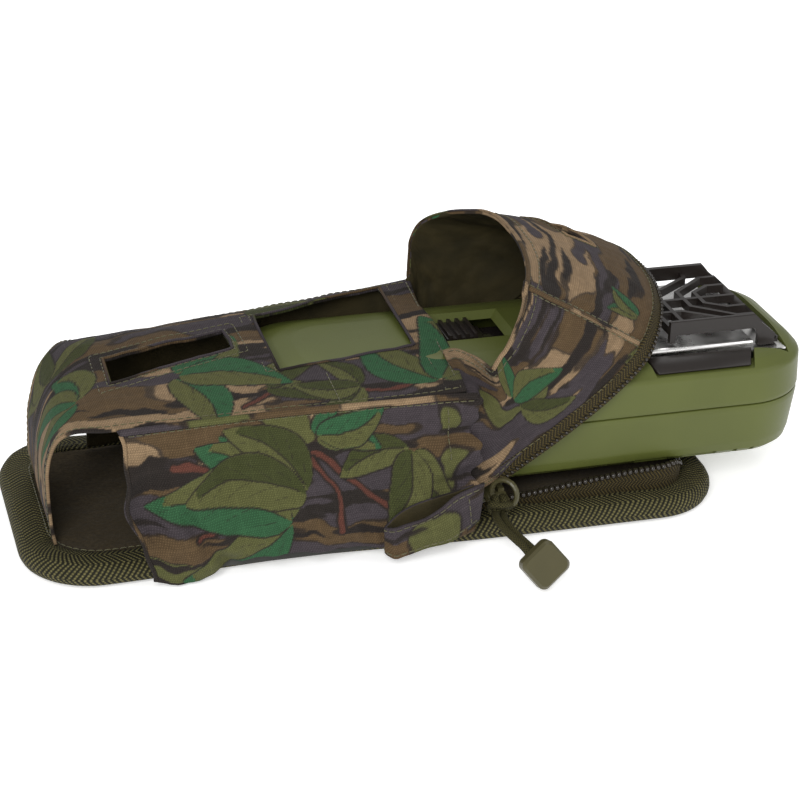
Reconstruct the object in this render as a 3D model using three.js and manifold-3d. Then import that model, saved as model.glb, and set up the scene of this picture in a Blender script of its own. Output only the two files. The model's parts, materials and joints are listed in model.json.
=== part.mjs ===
// A hand-held, gas-fired insect repeller, half drawn out of its zip-open cloth holster.
// Millimetres, +Z up. The origin is the middle of the face that the holster's back rests on.
// +X runs along the holster towards the zip end, and -Y is the side that carries the pocket.
import * as THREE from "three";
import { mergeVertices } from "three/addons/utils/BufferGeometryUtils.js";
import Module from "manifold-3d";

const wasm = await Module();
wasm.setup();

// ---- Driving dimensions -------------------------------------------------------------------

const GAP = 0.35; // air left between pieces that touch
const CLOTH = 1.2; // lined pack cloth

const PANEL = { length: 232, width: 94, radius: 24, height: 7.8 };
const BINDING = { wall: 1.5, overlap: 11, underlap: 14 };
const SHELL = { left: -86, right: 28, wallTop: 50.3, innerHalf: 38.8, outerHalf: 40.2 };
const POCKET = { left: -86, right: 27, bulge: 8, bottom: 5, top: 50 };
const HOOD = { pivotX: 36, pivotZ: 16, open: THREE.MathUtils.degToRad(36), half: 39.9 };
const ZIP = { left: 40, right: 105, half: 40, radius: 10, tape: 0.9 };

const DEVICE = { left: -40, right: 150, half: 36.5, base: 14.2, parting: 33.7, shoulder: 46 };
const FACE = { half: 16, top: 53.6 };
const WALL = 2; // moulded shell wall
const GRILLE = { left: 99.5, right: 129.5, half: 22.3, beamTop: 60, barTop: 57.7, barDepth: 2.8, bar: 1.4 };
const WELL = { left: 88, right: 140.5, half: 27.5, floor: 43 }; // the hot plate sits in this
const SWITCH = { left: 28, right: 50, y: 5, half: 9, floor: 47.6 };
const BUTTON = { x: 71, radius: 6 };
const CARTRIDGE = { left: -38.6, right: 34, radius: 12, z: 32 };

// ---- Materials ----------------------------------------------------------------------------

function material(color, roughness, metalness = 0) {
  return new THREE.MeshStandardMaterial({ color, roughness, metalness });
}

const MATERIALS = {
  camouflage: material("#6b5f45", 0.9),
  lining: material("#35311d", 0.95),
  webbing: material("#4a4930", 0.85),
  board: material("#3a3a38", 0.9),
  zipTape: material("#5b5133", 0.9),
  zipTeeth: material("#3b3a35", 0.45, 0.3),
  moulding: material("#55513c", 0.5),
  cord: material("#3d3a22", 0.9),
  deviceGreen: material("#6c7a4a", 0.55),
  blackPlastic: material("#2d2825", 0.5),
  hotPlate: material("#d8d8d6", 0.15, 1),
  steel: material("#a9abac", 0.3, 1),
  brass: material("#b99a4d", 0.35, 1),
  canister: material("#c9ccd0", 0.3, 1),
  ceramic: material("#e6e2d8", 0.6),
  rubber: material("#262626", 0.9),
};

// ---- Solids -------------------------------------------------------------------------------

function solidOf(geometry) {
  const bare = geometry.clone();
  bare.deleteAttribute("normal");
  bare.deleteAttribute("uv");
  const merged = mergeVertices(bare, 1e-4);
  return new wasm.Manifold(
    new wasm.Mesh({
      numProp: 3,
      vertProperties: new Float32Array(merged.attributes.position.array),
      triVerts: new Uint32Array(merged.index.array),
    }),
  );
}

function geometryOf(solid) {
  const { vertProperties, triVerts } = solid.getMesh();
  const geometry = new THREE.BufferGeometry()
    .setAttribute("position", new THREE.BufferAttribute(vertProperties, 3))
    .setIndex(new THREE.BufferAttribute(triVerts, 1));
  const flat = geometry.toNonIndexed();
  flat.computeVertexNormals();
  return flat;
}

const cut = (from, ...tools) =>
  geometryOf(tools.reduce((left, tool) => left.subtract(solidOf(tool)), solidOf(from)));

const join = (first, ...others) =>
  geometryOf(others.reduce((sum, other) => sum.add(solidOf(other)), solidOf(first)));

const common = (a, b) => geometryOf(solidOf(a).intersect(solidOf(b)));

// A box between two values on each axis.
function box([x0, x1], [y0, y1], [z0, z1]) {
  return new THREE.BoxGeometry(x1 - x0, y1 - y0, z1 - z0).translate(
    (x0 + x1) / 2,
    (y0 + y1) / 2,
    (z0 + z1) / 2,
  );
}

function shapeOf(points) {
  return new THREE.Shape(points.map(([a, b]) => new THREE.Vector2(a, b)));
}

function extruded(shape, depth, curveSegments = 6) {
  return new THREE.ExtrudeGeometry(shape, { depth, bevelEnabled: false, curveSegments });
}

// An outline in X and Y, raised from one height to another.
function upright(points, low, high) {
  return extruded(shapeOf(points), high - low).translate(0, 0, low);
}

// An outline in X and Z, run along Y.
function crosswise(points, low, high) {
  return extruded(shapeOf(points), high - low).rotateX(Math.PI / 2).translate(0, high, 0);
}

// An outline in Y and Z, run along X.
function lengthwise(points, low, high) {
  const turn = new THREE.Matrix4().makeBasis(
    new THREE.Vector3(0, 1, 0),
    new THREE.Vector3(0, 0, 1),
    new THREE.Vector3(1, 0, 0),
  );
  return extruded(shapeOf(points), high - low).applyMatrix4(turn).translate(low, 0, 0);
}

// A round bar from one point to another.
function rod(from, to, radius, sides = 16, endRadius = radius) {
  const a = new THREE.Vector3(...from);
  const b = new THREE.Vector3(...to);
  const bar = new THREE.CylinderGeometry(endRadius, radius, a.distanceTo(b), sides);
  const turn = new THREE.Quaternion().setFromUnitVectors(
    new THREE.Vector3(0, 1, 0),
    b.clone().sub(a).normalize(),
  );
  return bar.applyQuaternion(turn).translate(...a.add(b).divideScalar(2).toArray());
}

// A closed solid through rings of points that all turn the same way; the ends are flat fans.
function skinned(rings) {
  const count = rings[0].length;
  const position = [];
  const index = [];
  rings.flat().forEach((p) => position.push(p.x, p.y, p.z));
  const middle = (ring) =>
    ring.reduce((sum, p) => sum.add(p), new THREE.Vector3()).divideScalar(ring.length);
  [rings[0], rings.at(-1)].forEach((ring) => position.push(...middle(ring).toArray()));
  const low = rings.length * count;
  for (let i = 0; i < count; i++) {
    const j = (i + 1) % count;
    for (let k = 0; k + 1 < rings.length; k++) {
      const [a, b] = [k * count, (k + 1) * count];
      index.push(a + i, a + j, b + j, a + i, b + j, b + i);
    }
    const top = (rings.length - 1) * count;
    index.push(low, j, i, low + 1, top + i, top + j);
  }
  return new THREE.BufferGeometry()
    .setAttribute("position", new THREE.Float32BufferAttribute(position, 3))
    .setIndex(index);
}

// Rounded outline between two X values, run anticlockwise, with its ends bowed outwards.
function roundedOutline({ left, right, half, radius, z = 0, bow = 0 }, steps = 5) {
  const points = [];
  const corners = [
    [right - radius, half - radius, 0],
    [left + radius, half - radius, 1],
    [left + radius, radius - half, 2],
    [right - radius, radius - half, 3],
  ];
  for (const [cx, cy, quarter] of corners) {
    for (let i = 0; i <= steps; i++) {
      const angle = (quarter + i / steps) * (Math.PI / 2);
      const y = cy + radius * Math.sin(angle);
      const side = quarter % 3 ? -1 : 1;
      const out = Math.abs(bow * (1 - (y / half) ** 2));
      points.push(new THREE.Vector3(cx + radius * Math.cos(angle) + out * side, y, z));
    }
  }
  return points;
}

const planOf = (level) => roundedOutline(level).map(({ x, y }) => [x, y]);

// A solid whose outline changes from level to level.
const stacked = (levels) => skinned(levels.map((level) => roundedOutline(level)));

// Cloth: rows of points on one face, thickened along the cross product of the row-to-row
// direction and the direction within a row.
function cloth(rows, thickness = CLOTH) {
  const [m, n] = [rows.length, rows[0].length];
  const at = (i, j) => rows[Math.max(0, Math.min(m - 1, i))][Math.max(0, Math.min(n - 1, j))];
  const outer = rows.map((row, i) =>
    row.map((p, j) => {
      const along = at(i + 1, j).clone().sub(at(i - 1, j));
      const across = at(i, j + 1).clone().sub(at(i, j - 1));
      return p.clone().add(along.cross(across).normalize().multiplyScalar(thickness));
    }),
  );
  const rings = rows.map((row, i) => [...row, ...outer[i].slice().reverse()]);
  return strips(rings);
}

// Like skinned, for rings whose ends are long thin strips: each end is closed in quads.
function strips(rings) {
  const count = rings[0].length;
  const half = count / 2;
  const position = rings.flat().flatMap((p) => p.toArray());
  const index = [];
  const quad = (a, b, c, d) => index.push(a, b, c, a, c, d);
  for (let i = 0; i < count; i++) {
    const j = (i + 1) % count;
    for (let k = 0; k + 1 < rings.length; k++) {
      quad(k * count + i, k * count + j, (k + 1) * count + j, (k + 1) * count + i);
    }
  }
  const top = (rings.length - 1) * count;
  for (let i = 0; i + 1 < half; i++) {
    quad(count - 1 - i, count - 2 - i, i + 1, i);
    quad(top + i, top + i + 1, top + count - 2 - i, top + count - 1 - i);
  }
  const geometry = new THREE.BufferGeometry()
    .setAttribute("position", new THREE.Float32BufferAttribute(position, 3))
    .setIndex(index);
  return solidOf(geometry).volume() < 0 ? strips(rings.slice().reverse()) : geometry;
}

const spaced = (from, to, count) =>
  Array.from({ length: count + 1 }, (_, i) => from + ((to - from) * i) / count);

// Straight-line interpolation through [input, output] knots.
function through(knots, value) {
  const next = knots.findIndex(([input]) => input >= value);
  if (next <= 0) return knots[next ? knots.length - 1 : 0][1];
  const [[a, low], [b, high]] = [knots[next - 1], knots[next]];
  return low + ((value - a) / (b - a)) * (high - low);
}

// ---- Assembly -----------------------------------------------------------------------------

const assembly = new THREE.Group();
const hood = new THREE.Group(); // its own X runs along the zip, its Z away from it
hood.position.set(HOOD.pivotX, 0, HOOD.pivotZ);
hood.rotation.y = -HOOD.open;
assembly.add(hood);

function piece(name, geometry, finish, parent = assembly) {
  const mesh = new THREE.Mesh(geometry, MATERIALS[finish]);
  mesh.name = name;
  parent.add(mesh);
  return mesh;
}

// ---- Back panel ---------------------------------------------------------------------------

const panelOutline = (inset, z) => ({
  left: -PANEL.length / 2 + inset,
  right: PANEL.length / 2 - inset,
  half: PANEL.width / 2 - inset,
  radius: PANEL.radius - inset,
  z,
});

const panelSlab = (inset, low, high) =>
  stacked([panelOutline(inset, low), panelOutline(inset, high)]);

function makeBackPanel() {
  const edge = 2;
  const boardLow = BINDING.wall + 0.6;
  const boardHigh = PANEL.height - BINDING.wall - GAP;
  const wrapped = stacked([
    panelOutline(edge, 0),
    panelOutline(0, edge),
    panelOutline(0, PANEL.height - edge),
    panelOutline(edge, PANEL.height),
  ]);
  const binding = cut(
    wrapped,
    panelSlab(BINDING.wall, boardLow - GAP, boardHigh + GAP),
    panelSlab(BINDING.underlap, -1, boardLow),
    panelSlab(BINDING.overlap, boardHigh, PANEL.height + 1),
  );
  piece("edge_binding", binding, "webbing");
  piece("back_board", panelSlab(BINDING.wall + GAP, boardLow, boardHigh), "board");
  const lining = panelSlab(BINDING.overlap + GAP, boardHigh + GAP, boardHigh + GAP + 0.9);
  piece("back_lining", lining, "lining");
  const cover = panelSlab(BINDING.underlap + GAP, boardLow - GAP - 0.5, boardLow - GAP);
  piece("back_cover", cover, "camouflage");
  piece("belt_loop", box([-45, 45], [-22, 22], [0, 1]), "webbing");
}

// ---- Front cover of the holster -----------------------------------------------------------

// Inner face of the front cover: crowned over the device, and slack towards the closed end.
function coverHeight(x, y) {
  const rise = THREE.MathUtils.clamp((x - SHELL.left) / (SHELL.right - SHELL.left), 0, 1);
  return through(
    [
      [-SHELL.outerHalf, 51],
      [-20, 54.4],
      [14, 54.9 + 1.5 * rise],
      [SHELL.outerHalf, 46.8 + 9.4 * rise],
    ],
    y,
  );
}

function coverRow(x, near, far, count = 10) {
  return spaced(far, near, count).map((y) => new THREE.Vector3(x, y, coverHeight(x, y)));
}

// The strap that closes the lower end: the cover narrows, turns down and is sewn to the panel.
function strapRows() {
  const fall = new THREE.CatmullRomCurve3(
    [
      [-94, 54.2],
      [-102, 49.8],
      [-106.5, 41],
      [-107.4, 28],
      [-106.4, 17],
      [-104.4, 8.4],
    ].map(([x, z]) => new THREE.Vector3(x, 0, z)),
  );
  const near = [-37.5, -34, -31.5, -30.5, -30, -30];
  const far = [26, 17, 12, 12, 16, 22];
  const knots = near.map((_, i) => i / (near.length - 1));
  const pair = (list) => list.map((value, i) => [knots[i], value]);
  return spaced(0, 1, 8).map((t) => {
    const { x, z } = fall.getPoint(t);
    const slack = Math.max(0, 1 - 2.5 * t);
    const droop = (y) => slack * (coverHeight(SHELL.left, y) - coverHeight(SHELL.left, 0));
    return spaced(through(pair(far), t), through(pair(near), t), 10).map(
      (y) => new THREE.Vector3(x, y, z + droop(y)),
    );
  });
}

function makeFrontCover() {
  const rows = [
    ...spaced(SHELL.right, SHELL.left, 6).map((x) =>
      coverRow(x, -SHELL.outerHalf, SHELL.outerHalf),
    ),
    ...strapRows(),
  ];
  const cartridgeWindow = [
    [-83, -11],
    [-42, 1],
    [-42, 14],
    [-83, 5],
  ];
  const faceWindow = [
    [-30, -17],
    [16.5, -10],
    [16.5, 35],
    [-30, 24],
  ];
  const cover = cut(
    cloth(rows),
    upright(cartridgeWindow, 40, 70),
    upright(faceWindow, 40, 70),
  );
  piece("front_cover", cover, "camouflage");

  const hemRows = spaced(SHELL.right, SHELL.right - 8, 2).map((x) =>
    coverRow(x, -SHELL.outerHalf, SHELL.outerHalf).map((p) =>
      p.add(new THREE.Vector3(0, 0, CLOTH + 0.55)),
    ),
  );
  piece("cover_hem", cloth(hemRows, 0.8), "camouflage");

  const low = PANEL.height + GAP;
  const wallY = [-SHELL.outerHalf, -SHELL.innerHalf];
  const near = box([SHELL.left, SHELL.right - 4], wallY, [low, SHELL.wallTop]);
  piece("near_wall", near, "lining");
  const right = SHELL.right - 4;
  const far = crosswise(
    [
      [SHELL.left, low],
      [right, low],
      [right, coverHeight(right, SHELL.outerHalf) - 0.8],
      [SHELL.left, coverHeight(SHELL.left, SHELL.outerHalf) - 0.8],
    ],
    SHELL.innerHalf,
    SHELL.outerHalf,
  );
  piece("far_wall", far, "camouflage");
}

// ---- Side pocket --------------------------------------------------------------------------

function makeSidePocket() {
  const seam = -SHELL.outerHalf - GAP - 0.1;
  const section = (x) => {
    const t = (x - POCKET.left) / (POCKET.right - POCKET.left);
    const gathered = t > 0.93 ? 0.4 : 1;
    return [
      [seam, POCKET.top],
      [seam - 0.45 * POCKET.bulge * gathered, 38],
      [seam - 0.85 * POCKET.bulge * gathered, 25],
      [seam - POCKET.bulge, 12],
      [seam - 0.95 * POCKET.bulge, POCKET.bottom],
    ];
  };
  const rows = spaced(POCKET.right, POCKET.left, 8).map((x) =>
    section(x).map(([y, z]) => new THREE.Vector3(x, y, z)),
  );
  piece("side_pocket", cloth(rows), "camouflage");

  const loop = cut(
    upright(planOf({ left: -3, right: 31, half: 2.2, radius: 2.1 }), 0, 12.5),
    upright(planOf({ left: -1.9, right: 29.9, half: 1.1, radius: 1 }), -1, 14),
  );
  piece("pocket_loop", loop.rotateY(-0.22).translate(0.5, -52.6, 1.2), "camouflage");
}

// ---- Hood ---------------------------------------------------------------------------------

// Plan of the zip round the hood's mouth: straight sides and one long rounded end.
function hoodPlan(v, sideX, endX) {
  return sideX + (endX - sideX) * (1 - v * v) ** 1.3;
}

function makeHood() {
  const y = HOOD.half;
  const tape = { low: 3.1, high: 4.6 };
  const clothLow = tape.high + GAP;

  const nearEdge = [
    [4, clothLow],
    [62.5, clothLow],
    [61.5, 12],
    [56.5, 30.5],
    [50, 43],
    [45.8, 48.6],
    [38, 43.6],
    [30, 40],
    [23, 37.5],
    [11.5, 20],
  ];
  const farEdge = [
    ...nearEdge.slice(0, 5),
    [46.5, 47.4],
    [38, 47.5],
    [31.5, 46.5],
    [25.5, 40],
    [11.5, 20],
  ];
  piece("hood_near_panel", crosswise(nearEdge, -y, -y + CLOTH), "camouflage", hood);
  piece("hood_far_panel", crosswise(farEdge, y - CLOTH, y), "camouflage", hood);

  const levels = [
    { side: 46.5, end: 54.5, z: 50.4 },
    { side: 51.5, end: 62, z: 46 },
    { side: 56, end: 69.5, z: 37 },
    { side: 60, end: 75.5, z: 25 },
    { side: 63, end: 80, z: 13 },
    { side: 64.5, end: 82, z: clothLow },
  ];
  const rows = levels.map(({ side, end, z }) =>
    spaced(-1, 1, 14).map((v) => new THREE.Vector3(hoodPlan(v, side, end), v * y, z)),
  );
  const slot = box([60, 90], [-17, 13], [28, 37]);
  piece("hood_band", cut(cloth(rows), slot), "camouflage", hood);

  makeHoodZip(tape);
}

// A strip that follows the hood's mouth, from one pivot round the end to the other.
function hoodStrip(inset, thickness, low, high) {
  const half = HOOD.half - inset;
  const corner = 64.5;
  const end = 82 - inset;
  const route = [
    ...[7, 25, 45].map((x) => [x, -half]),
    ...spaced(-1, 1, 14).map((v) => [hoodPlan(v, corner, end), v * half]),
    ...[45, 25, 7].map((x) => [x, half]),
  ];
  const rows = [low, high].map((z) => route.map(([x, y]) => new THREE.Vector3(x, y, z)));
  return cloth(rows, thickness);
}

function makeHoodZip({ low, high }) {
  piece("hood_zip_tape", hoodStrip(1.2, ZIP.tape, low, high), "zipTape", hood);
  piece("hood_zip_teeth", hoodStrip(1.2, 1.5, 2.05, low - GAP), "zipTeeth", hood);
}

// ---- Panel zip, slider and pull -----------------------------------------------------------

function panelZipRoute(inset) {
  const { left, right, half, radius } = ZIP;
  const bend = roundedOutline({ left, right: right - inset, half: half - inset, radius }, 4);
  const far = bend.slice(0, 5);
  const near = bend.slice(-5);
  return [
    new THREE.Vector3(left, inset - half, 0),
    ...near,
    ...far,
    new THREE.Vector3(left, half - inset, 0),
  ];
}

function panelStrip(inset, thickness, low, high) {
  const route = panelZipRoute(inset);
  const rows = [low, high].map((z) => route.map((p) => new THREE.Vector3(p.x, p.y, z)));
  return cloth(rows, thickness);
}

function makePanelZip() {
  const tapeLow = PANEL.height + GAP;
  const tapeHigh = 10.5;
  piece("panel_zip_tape", panelStrip(0.9, ZIP.tape, tapeLow, tapeHigh), "zipTape");
  const teeth = panelStrip(1.1, 1.5, tapeHigh + GAP, 12.3);
  piece("panel_zip_teeth", teeth, "zipTeeth");
}

const SLIDER = { x: 35, y: -38.3, z: 14, slot: 1.7, plate: 1 };

// Two plates with the zip between them, a wedge that parts the teeth, and a bail for the pull.
function makeSlider() {
  const { x, y, z, slot, plate } = SLIDER;
  const outline = [
    [-4, -2],
    [2.6, -3.2],
    [4, -2.4],
    [4, 2],
    [2.6, 2.8],
    [-4, 1.8],
  ].map(([a, b]) => [x + a, z + b]);
  const low = outline.map(([a, b]) => [a, Math.min(b, z + 0.4)]);
  const outer = crosswise(low, y - slot - plate, y - slot);
  const inner = crosswise(outline, y + slot, y + slot + plate);
  const wedge = box([x + 1.6, x + 3.6], [y - slot - 0.1, y + slot + 0.1], [z - 0.1, z + 1.6]);
  const front = y - slot - plate;
  const arms = [-3.2, 3.2].map((a) =>
    box([x + a - 0.5, x + a + 0.5], [front - 4, front + 0.1], [z - 0.5, z + 0.5]),
  );
  const bar = rod([x - 3.7, front - 4, z], [x + 3.7, front - 4, z], 0.6, 12);
  piece("zip_slider", join(outer, inner, wedge, ...arms, bar), "moulding");
}

// The pull hangs from the slider's bail: a moulded ring, a doubled cord and a moulded toggle.
const RING = { x: 36.9, y: -45.2, z: 16.5, radius: 4.5, tube: 0.85 };
const CORD = 1.25; // strand radius
const TOGGLE = { x: 39.3, y: -77.9, z: 8.4, half: 5.7, thick: 5.8 };

function makePull() {
  const up = new THREE.Vector3(0, 0, 1);
  const facing = new THREE.Vector3(-0.71, -0.69, 0.14).normalize();
  const ring = new THREE.TorusGeometry(RING.radius, RING.tube, 8, 20)
    .scale(1, 1, 1.3)
    .applyQuaternion(new THREE.Quaternion().setFromUnitVectors(up, facing));
  piece("pull_ring", ring.translate(RING.x, RING.y, RING.z), "moulding");

  const { half, thick } = TOGGLE;
  const face = roundedOutline({ left: -half, right: half, half, radius: 1.7, bow: 1.1 });
  const levels = [
    [-1, 0.86],
    [-0.6, 1],
    [0.6, 1],
    [1, 0.86],
  ];
  const rings = levels.map(([level, size]) =>
    face.map((p) => new THREE.Vector3(p.x * size, p.y * size * 1.05, (level * thick) / 2)),
  );
  const toggle = skinned(rings)
    .rotateZ(Math.PI / 4 - 0.12)
    .rotateX(Math.PI / 2 - 0.35)
    .translate(TOGGLE.x, TOGGLE.y, TOGGLE.z);
  const routes = cordRoutes();
  const bores = Object.values(routes).map((points) => tube(points, CORD + 0.25));
  piece("pull_toggle", cut(toggle, ...bores), "moulding");
  Object.entries(routes).forEach(([name, points]) =>
    piece(name, tube(points.with(-1, points.at(-1).clone().lerp(points.at(-2), 0.1)), CORD), "cord"),
  );
}

// Two strands lie side by side from the ring, over the panel's edge and into the toggle.
function cordRoutes() {
  const strand = (shift) =>
    [
      [34.6, -47.8, 10.6],
      [33.9, -50.2, 11.4],
      [33.2, -53.2, 12],
      [33.0, -56.6, 12.1],
      [33.4, -60.2, 11.9],
      [34.2, -64, 11.6],
      [35.2, -67.8, 11.3],
      [36.2, -71.4, 10.9],
      [37.2, -74.8, 9.6],
      [38.3, -78, 7],
    ].map(([x, y, z]) => new THREE.Vector3(x + shift, y, z - shift * 0.35));
  return { pull_cord_a: strand(-1.4), pull_cord_b: strand(1.4) };
}

function tube(points, radius, sides = 8) {
  const section = new THREE.Shape();
  section.absarc(0, 0, radius, 0, 2 * Math.PI);
  const route = new THREE.CatmullRomCurve3(points);
  const steps = Math.ceil(route.getLength() / (radius * 2.5));
  const settings = { extrudePath: route, steps, curveSegments: sides / 2, bevelEnabled: false };
  return new THREE.ExtrudeGeometry(section, settings);
}

// ---- Repeller: housing --------------------------------------------------------------------

const housingLevel = (inset, z, radius, extra = {}) => ({
  left: DEVICE.left + inset,
  right: DEVICE.right - inset - 1.5,
  half: DEVICE.half - inset,
  radius,
  bow: 1.5,
  z,
  ...extra,
});

function lowerShellSolid(inset) {
  return stacked([
    housingLevel(5 + inset, DEVICE.base + inset, 17),
    housingLevel(2.4 + inset, DEVICE.base + 2.4 + inset, 19),
    housingLevel(0.1 + inset, DEVICE.parting, 22 - inset),
  ]);
}

function upperShellSolid(inset) {
  return stacked([
    housingLevel(inset, DEVICE.parting + GAP, 22 - inset),
    housingLevel(0.5 + inset, DEVICE.shoulder - inset, 22 - inset),
    housingLevel(3.6 + inset, 48.6 - inset, 21 - inset, { right: 146.4 - inset }),
    housingLevel(10 + inset, 51.1 - inset, 18 - inset, { right: 142.5 - inset }),
    housingLevel(20.5 + inset, FACE.top - inset, 10, { right: 132 - inset }),
  ]);
}

function makeHousing() {
  const { z, radius, left } = CARTRIDGE;
  const bore = rod([left - 6, 0, z], [10, 0, z], radius + 1, 24);
  const hollowLow = lowerShellSolid(WALL);
  const lid = upright(planOf(housingLevel(WALL, 0, 20)), DEVICE.parting - 0.01, 60);
  const lower = cut(lowerShellSolid(0), lid, hollowLow, bore);
  piece("lower_shell", lower, "deviceGreen");

  const openings = [
    box([WELL.left, WELL.right], [-WELL.half, WELL.half], [WELL.floor, 60]),
    mouthPocket(GAP),
    box([SWITCH.left, SWITCH.right], [SWITCH.y - SWITCH.half, SWITCH.y + SWITCH.half], [40, 60]),
    rod([BUTTON.x, 0, 40], [BUTTON.x, 0, 60], BUTTON.radius + 0.5, 20),
    bore,
  ];
  const hollow = common(
    upperShellSolid(WALL),
    box([DEVICE.left, DEVICE.right], [-40, 40], [DEVICE.parting + GAP - 1, 60]),
  );
  const floorless = box(
    [DEVICE.left + 3, DEVICE.right - 5],
    [-33.5, 33.5],
    [DEVICE.parting, DEVICE.parting + 1],
  );
  piece("upper_shell", cut(upperShellSolid(0), hollow, floorless, ...openings), "deviceGreen");
}

// ---- Repeller: hot plate, mat slot and grille ---------------------------------------------

const MOUTH_FLOOR = 46.9;

// The slope in the near side that the slot plate fills.
function mouthPocket(grow) {
  const outline = [
    [89 - grow, -26],
    [128 + grow, -26],
    [124 + grow, -37],
    [92 - grow, -37],
  ];
  return upright(outline, MOUTH_FLOOR - grow, 60);
}

function makeHotPlate() {
  const plate = box([90, 128], [-25, 25], [50.6, 52]);
  const lip = rod([90, -25, 51.3], [128, -25, 51.3], 0.9, 10);
  piece("heat_shield", box([91, 140], [-26, 26.8], [48, 48.6]), "hotPlate");
  piece("heater_plate", join(plate, lip), "hotPlate");

  const bed = upright(
    [
      [89.6, -26.4],
      [127.3, -26.4],
      [124.4, -33.6],
      [91.9, -33.6],
    ],
    MOUTH_FLOOR,
    60,
  );
  const slope = lengthwise(
    [
      [-26.3, 50.2],
      [-26.3, MOUTH_FLOOR],
      [-33.6, MOUTH_FLOOR],
      [-33.6, 47.6],
      [-29, 49.6],
      [-27.2, 50.2],
    ],
    88,
    130,
  );
  piece("slot_plate", common(bed, slope), "blackPlastic");
}

// A bar of the grille between two plan points, square to the plate.
function bar([x0, y0], [x1, y1], top = GRILLE.barTop, depth = GRILLE.barDepth) {
  const length = Math.hypot(x1 - x0, y1 - y0) + GRILLE.bar * 0.6;
  return new THREE.BoxGeometry(length, GRILLE.bar, depth)
    .rotateZ(Math.atan2(y1 - y0, x1 - x0))
    .translate((x0 + x1) / 2, (y0 + y1) / 2, top - depth / 2);
}

function bars(points) {
  return points.slice(1).map((point, i) => bar(points[i], point));
}

// A bar's end, which runs down from the flat of the grille to its front foot.
function slopedEnd(y, x = 131.2) {
  const { barTop, barDepth } = GRILLE;
  const outline = [
    [x - 0.6, barTop],
    [x - 0.6, barTop - barDepth],
    [x + 4.6, 49.9],
    [x + 7.4, 49.9],
    [x + 7.4, 51.4],
    [x + 0.8, barTop],
  ];
  return crosswise(outline, y - GRILLE.bar / 2, y + GRILLE.bar / 2);
}

function makeGrille() {
  const { left, right, half, beamTop } = GRILLE;
  const beams = [-half, half].map((y) => {
    const low = beamTop - 4.7;
    const outline = [
      [left, 52.6],
      [left + 2, 52.6],
      [left + 2, low],
      [right, low],
      [right + 1.5, 52.4],
      [right + 1.5, 49],
      [137, 49],
      [137, 52.8],
      [right + 2.5, 57],
      [right, beamTop],
      [left, beamTop],
    ];
    return crosswise(outline, y - 0.9, y + 0.9);
  });
  const mirrored = [-1, 1].flatMap((side) => [
    ...bars([[left, 9.3], [109, 9.3], [121, 17.8], [122, half]].map(([x, y]) => [x, side * y])),
    ...bars([[113.7, 6.2], [126, 16.2], [131.4, 16.2]].map(([x, y]) => [x, side * y])),
    ...bars([[119.3, 4.6], [125.5, 9], [131.4, 9]].map(([x, y]) => [x, side * y])),
    slopedEnd(side * 16.2),
    slopedEnd(side * 9),
  ]);
  const crossing = [
    bar([left + 1, -half], [left + 1, half]),
    bar([106, -half], [106, half], 57.7),
    bar([113.7, -6.2], [113.7, 6.2]),
    bar([119.3, -4.6], [119.3, 4.6]),
    bar([left, 0], [131.4, 0]),
    slopedEnd(0),
    box([136.2, 138.6], [-half, half], [49.2, 50.6 - GAP]),
    box([137.9, 138.6], [-half, half], [49.2, 51.2]),
  ];
  const grille = join(beams[0], beams[1], ...mirrored, ...crossing);
  piece("grille", grille, "blackPlastic");
}

// ---- Repeller: controls and works ---------------------------------------------------------

const VALVE_PIN = { left: 52.5, right: 54.5 };

// The switch's stem passes through its bed to a yoke, which carries the valve's pin.
function makeControls() {
  const { left, right, y, half, floor } = SWITCH;
  const bed = cut(
    box([left + GAP, right - GAP], [y - half + GAP, y + half - GAP], [45.6, floor]),
    box([left + 6.5, right - 7], [-2, 2], [44, 50]),
  );
  piece("switch_bed", bed, "deviceGreen");

  const knob = { left: left + 2.5, right: right - 5, ribs: 4, pitch: 2.9 };
  const far = y + half - 1.2;
  const base = box([knob.left, knob.right], [y - half + 1.2, far], [floor + GAP, floor + 1.6]);
  const block = box([knob.left, knob.right - 4], [y - half + 3.4, far], [floor + 1, 51.6]);
  const ribs = spaced(0, knob.ribs - 1, knob.ribs - 1).map((i) => {
    const start = knob.left + 0.5 + knob.pitch * i;
    return box([start, start + 1.2], [y - half + 3, far - 0.4], [51, 53]);
  });
  const stem = box([37, 39], [-1.2, 1.2], [43.4, floor + 1]);
  const yoke = cut(
    box([37, 57], [-5, 5], [43.4, 44.6]),
    box([VALVE_PIN.left - GAP, VALVE_PIN.right + GAP], [-3 - GAP, 3 + GAP], [43, 45]),
  );
  piece("slide_switch", join(base, block, stem, yoke, ...ribs), "blackPlastic");

  const cap = rod([BUTTON.x, 0, 44], [BUTTON.x, 0, 54.6], BUTTON.radius, 20);
  const foot = rod([BUTTON.x, 0, 43], [BUTTON.x, 0, 44.2], BUTTON.radius + 1.4, 20);
  piece("igniter_button", join(cap, foot), "blackPlastic");
}

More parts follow.
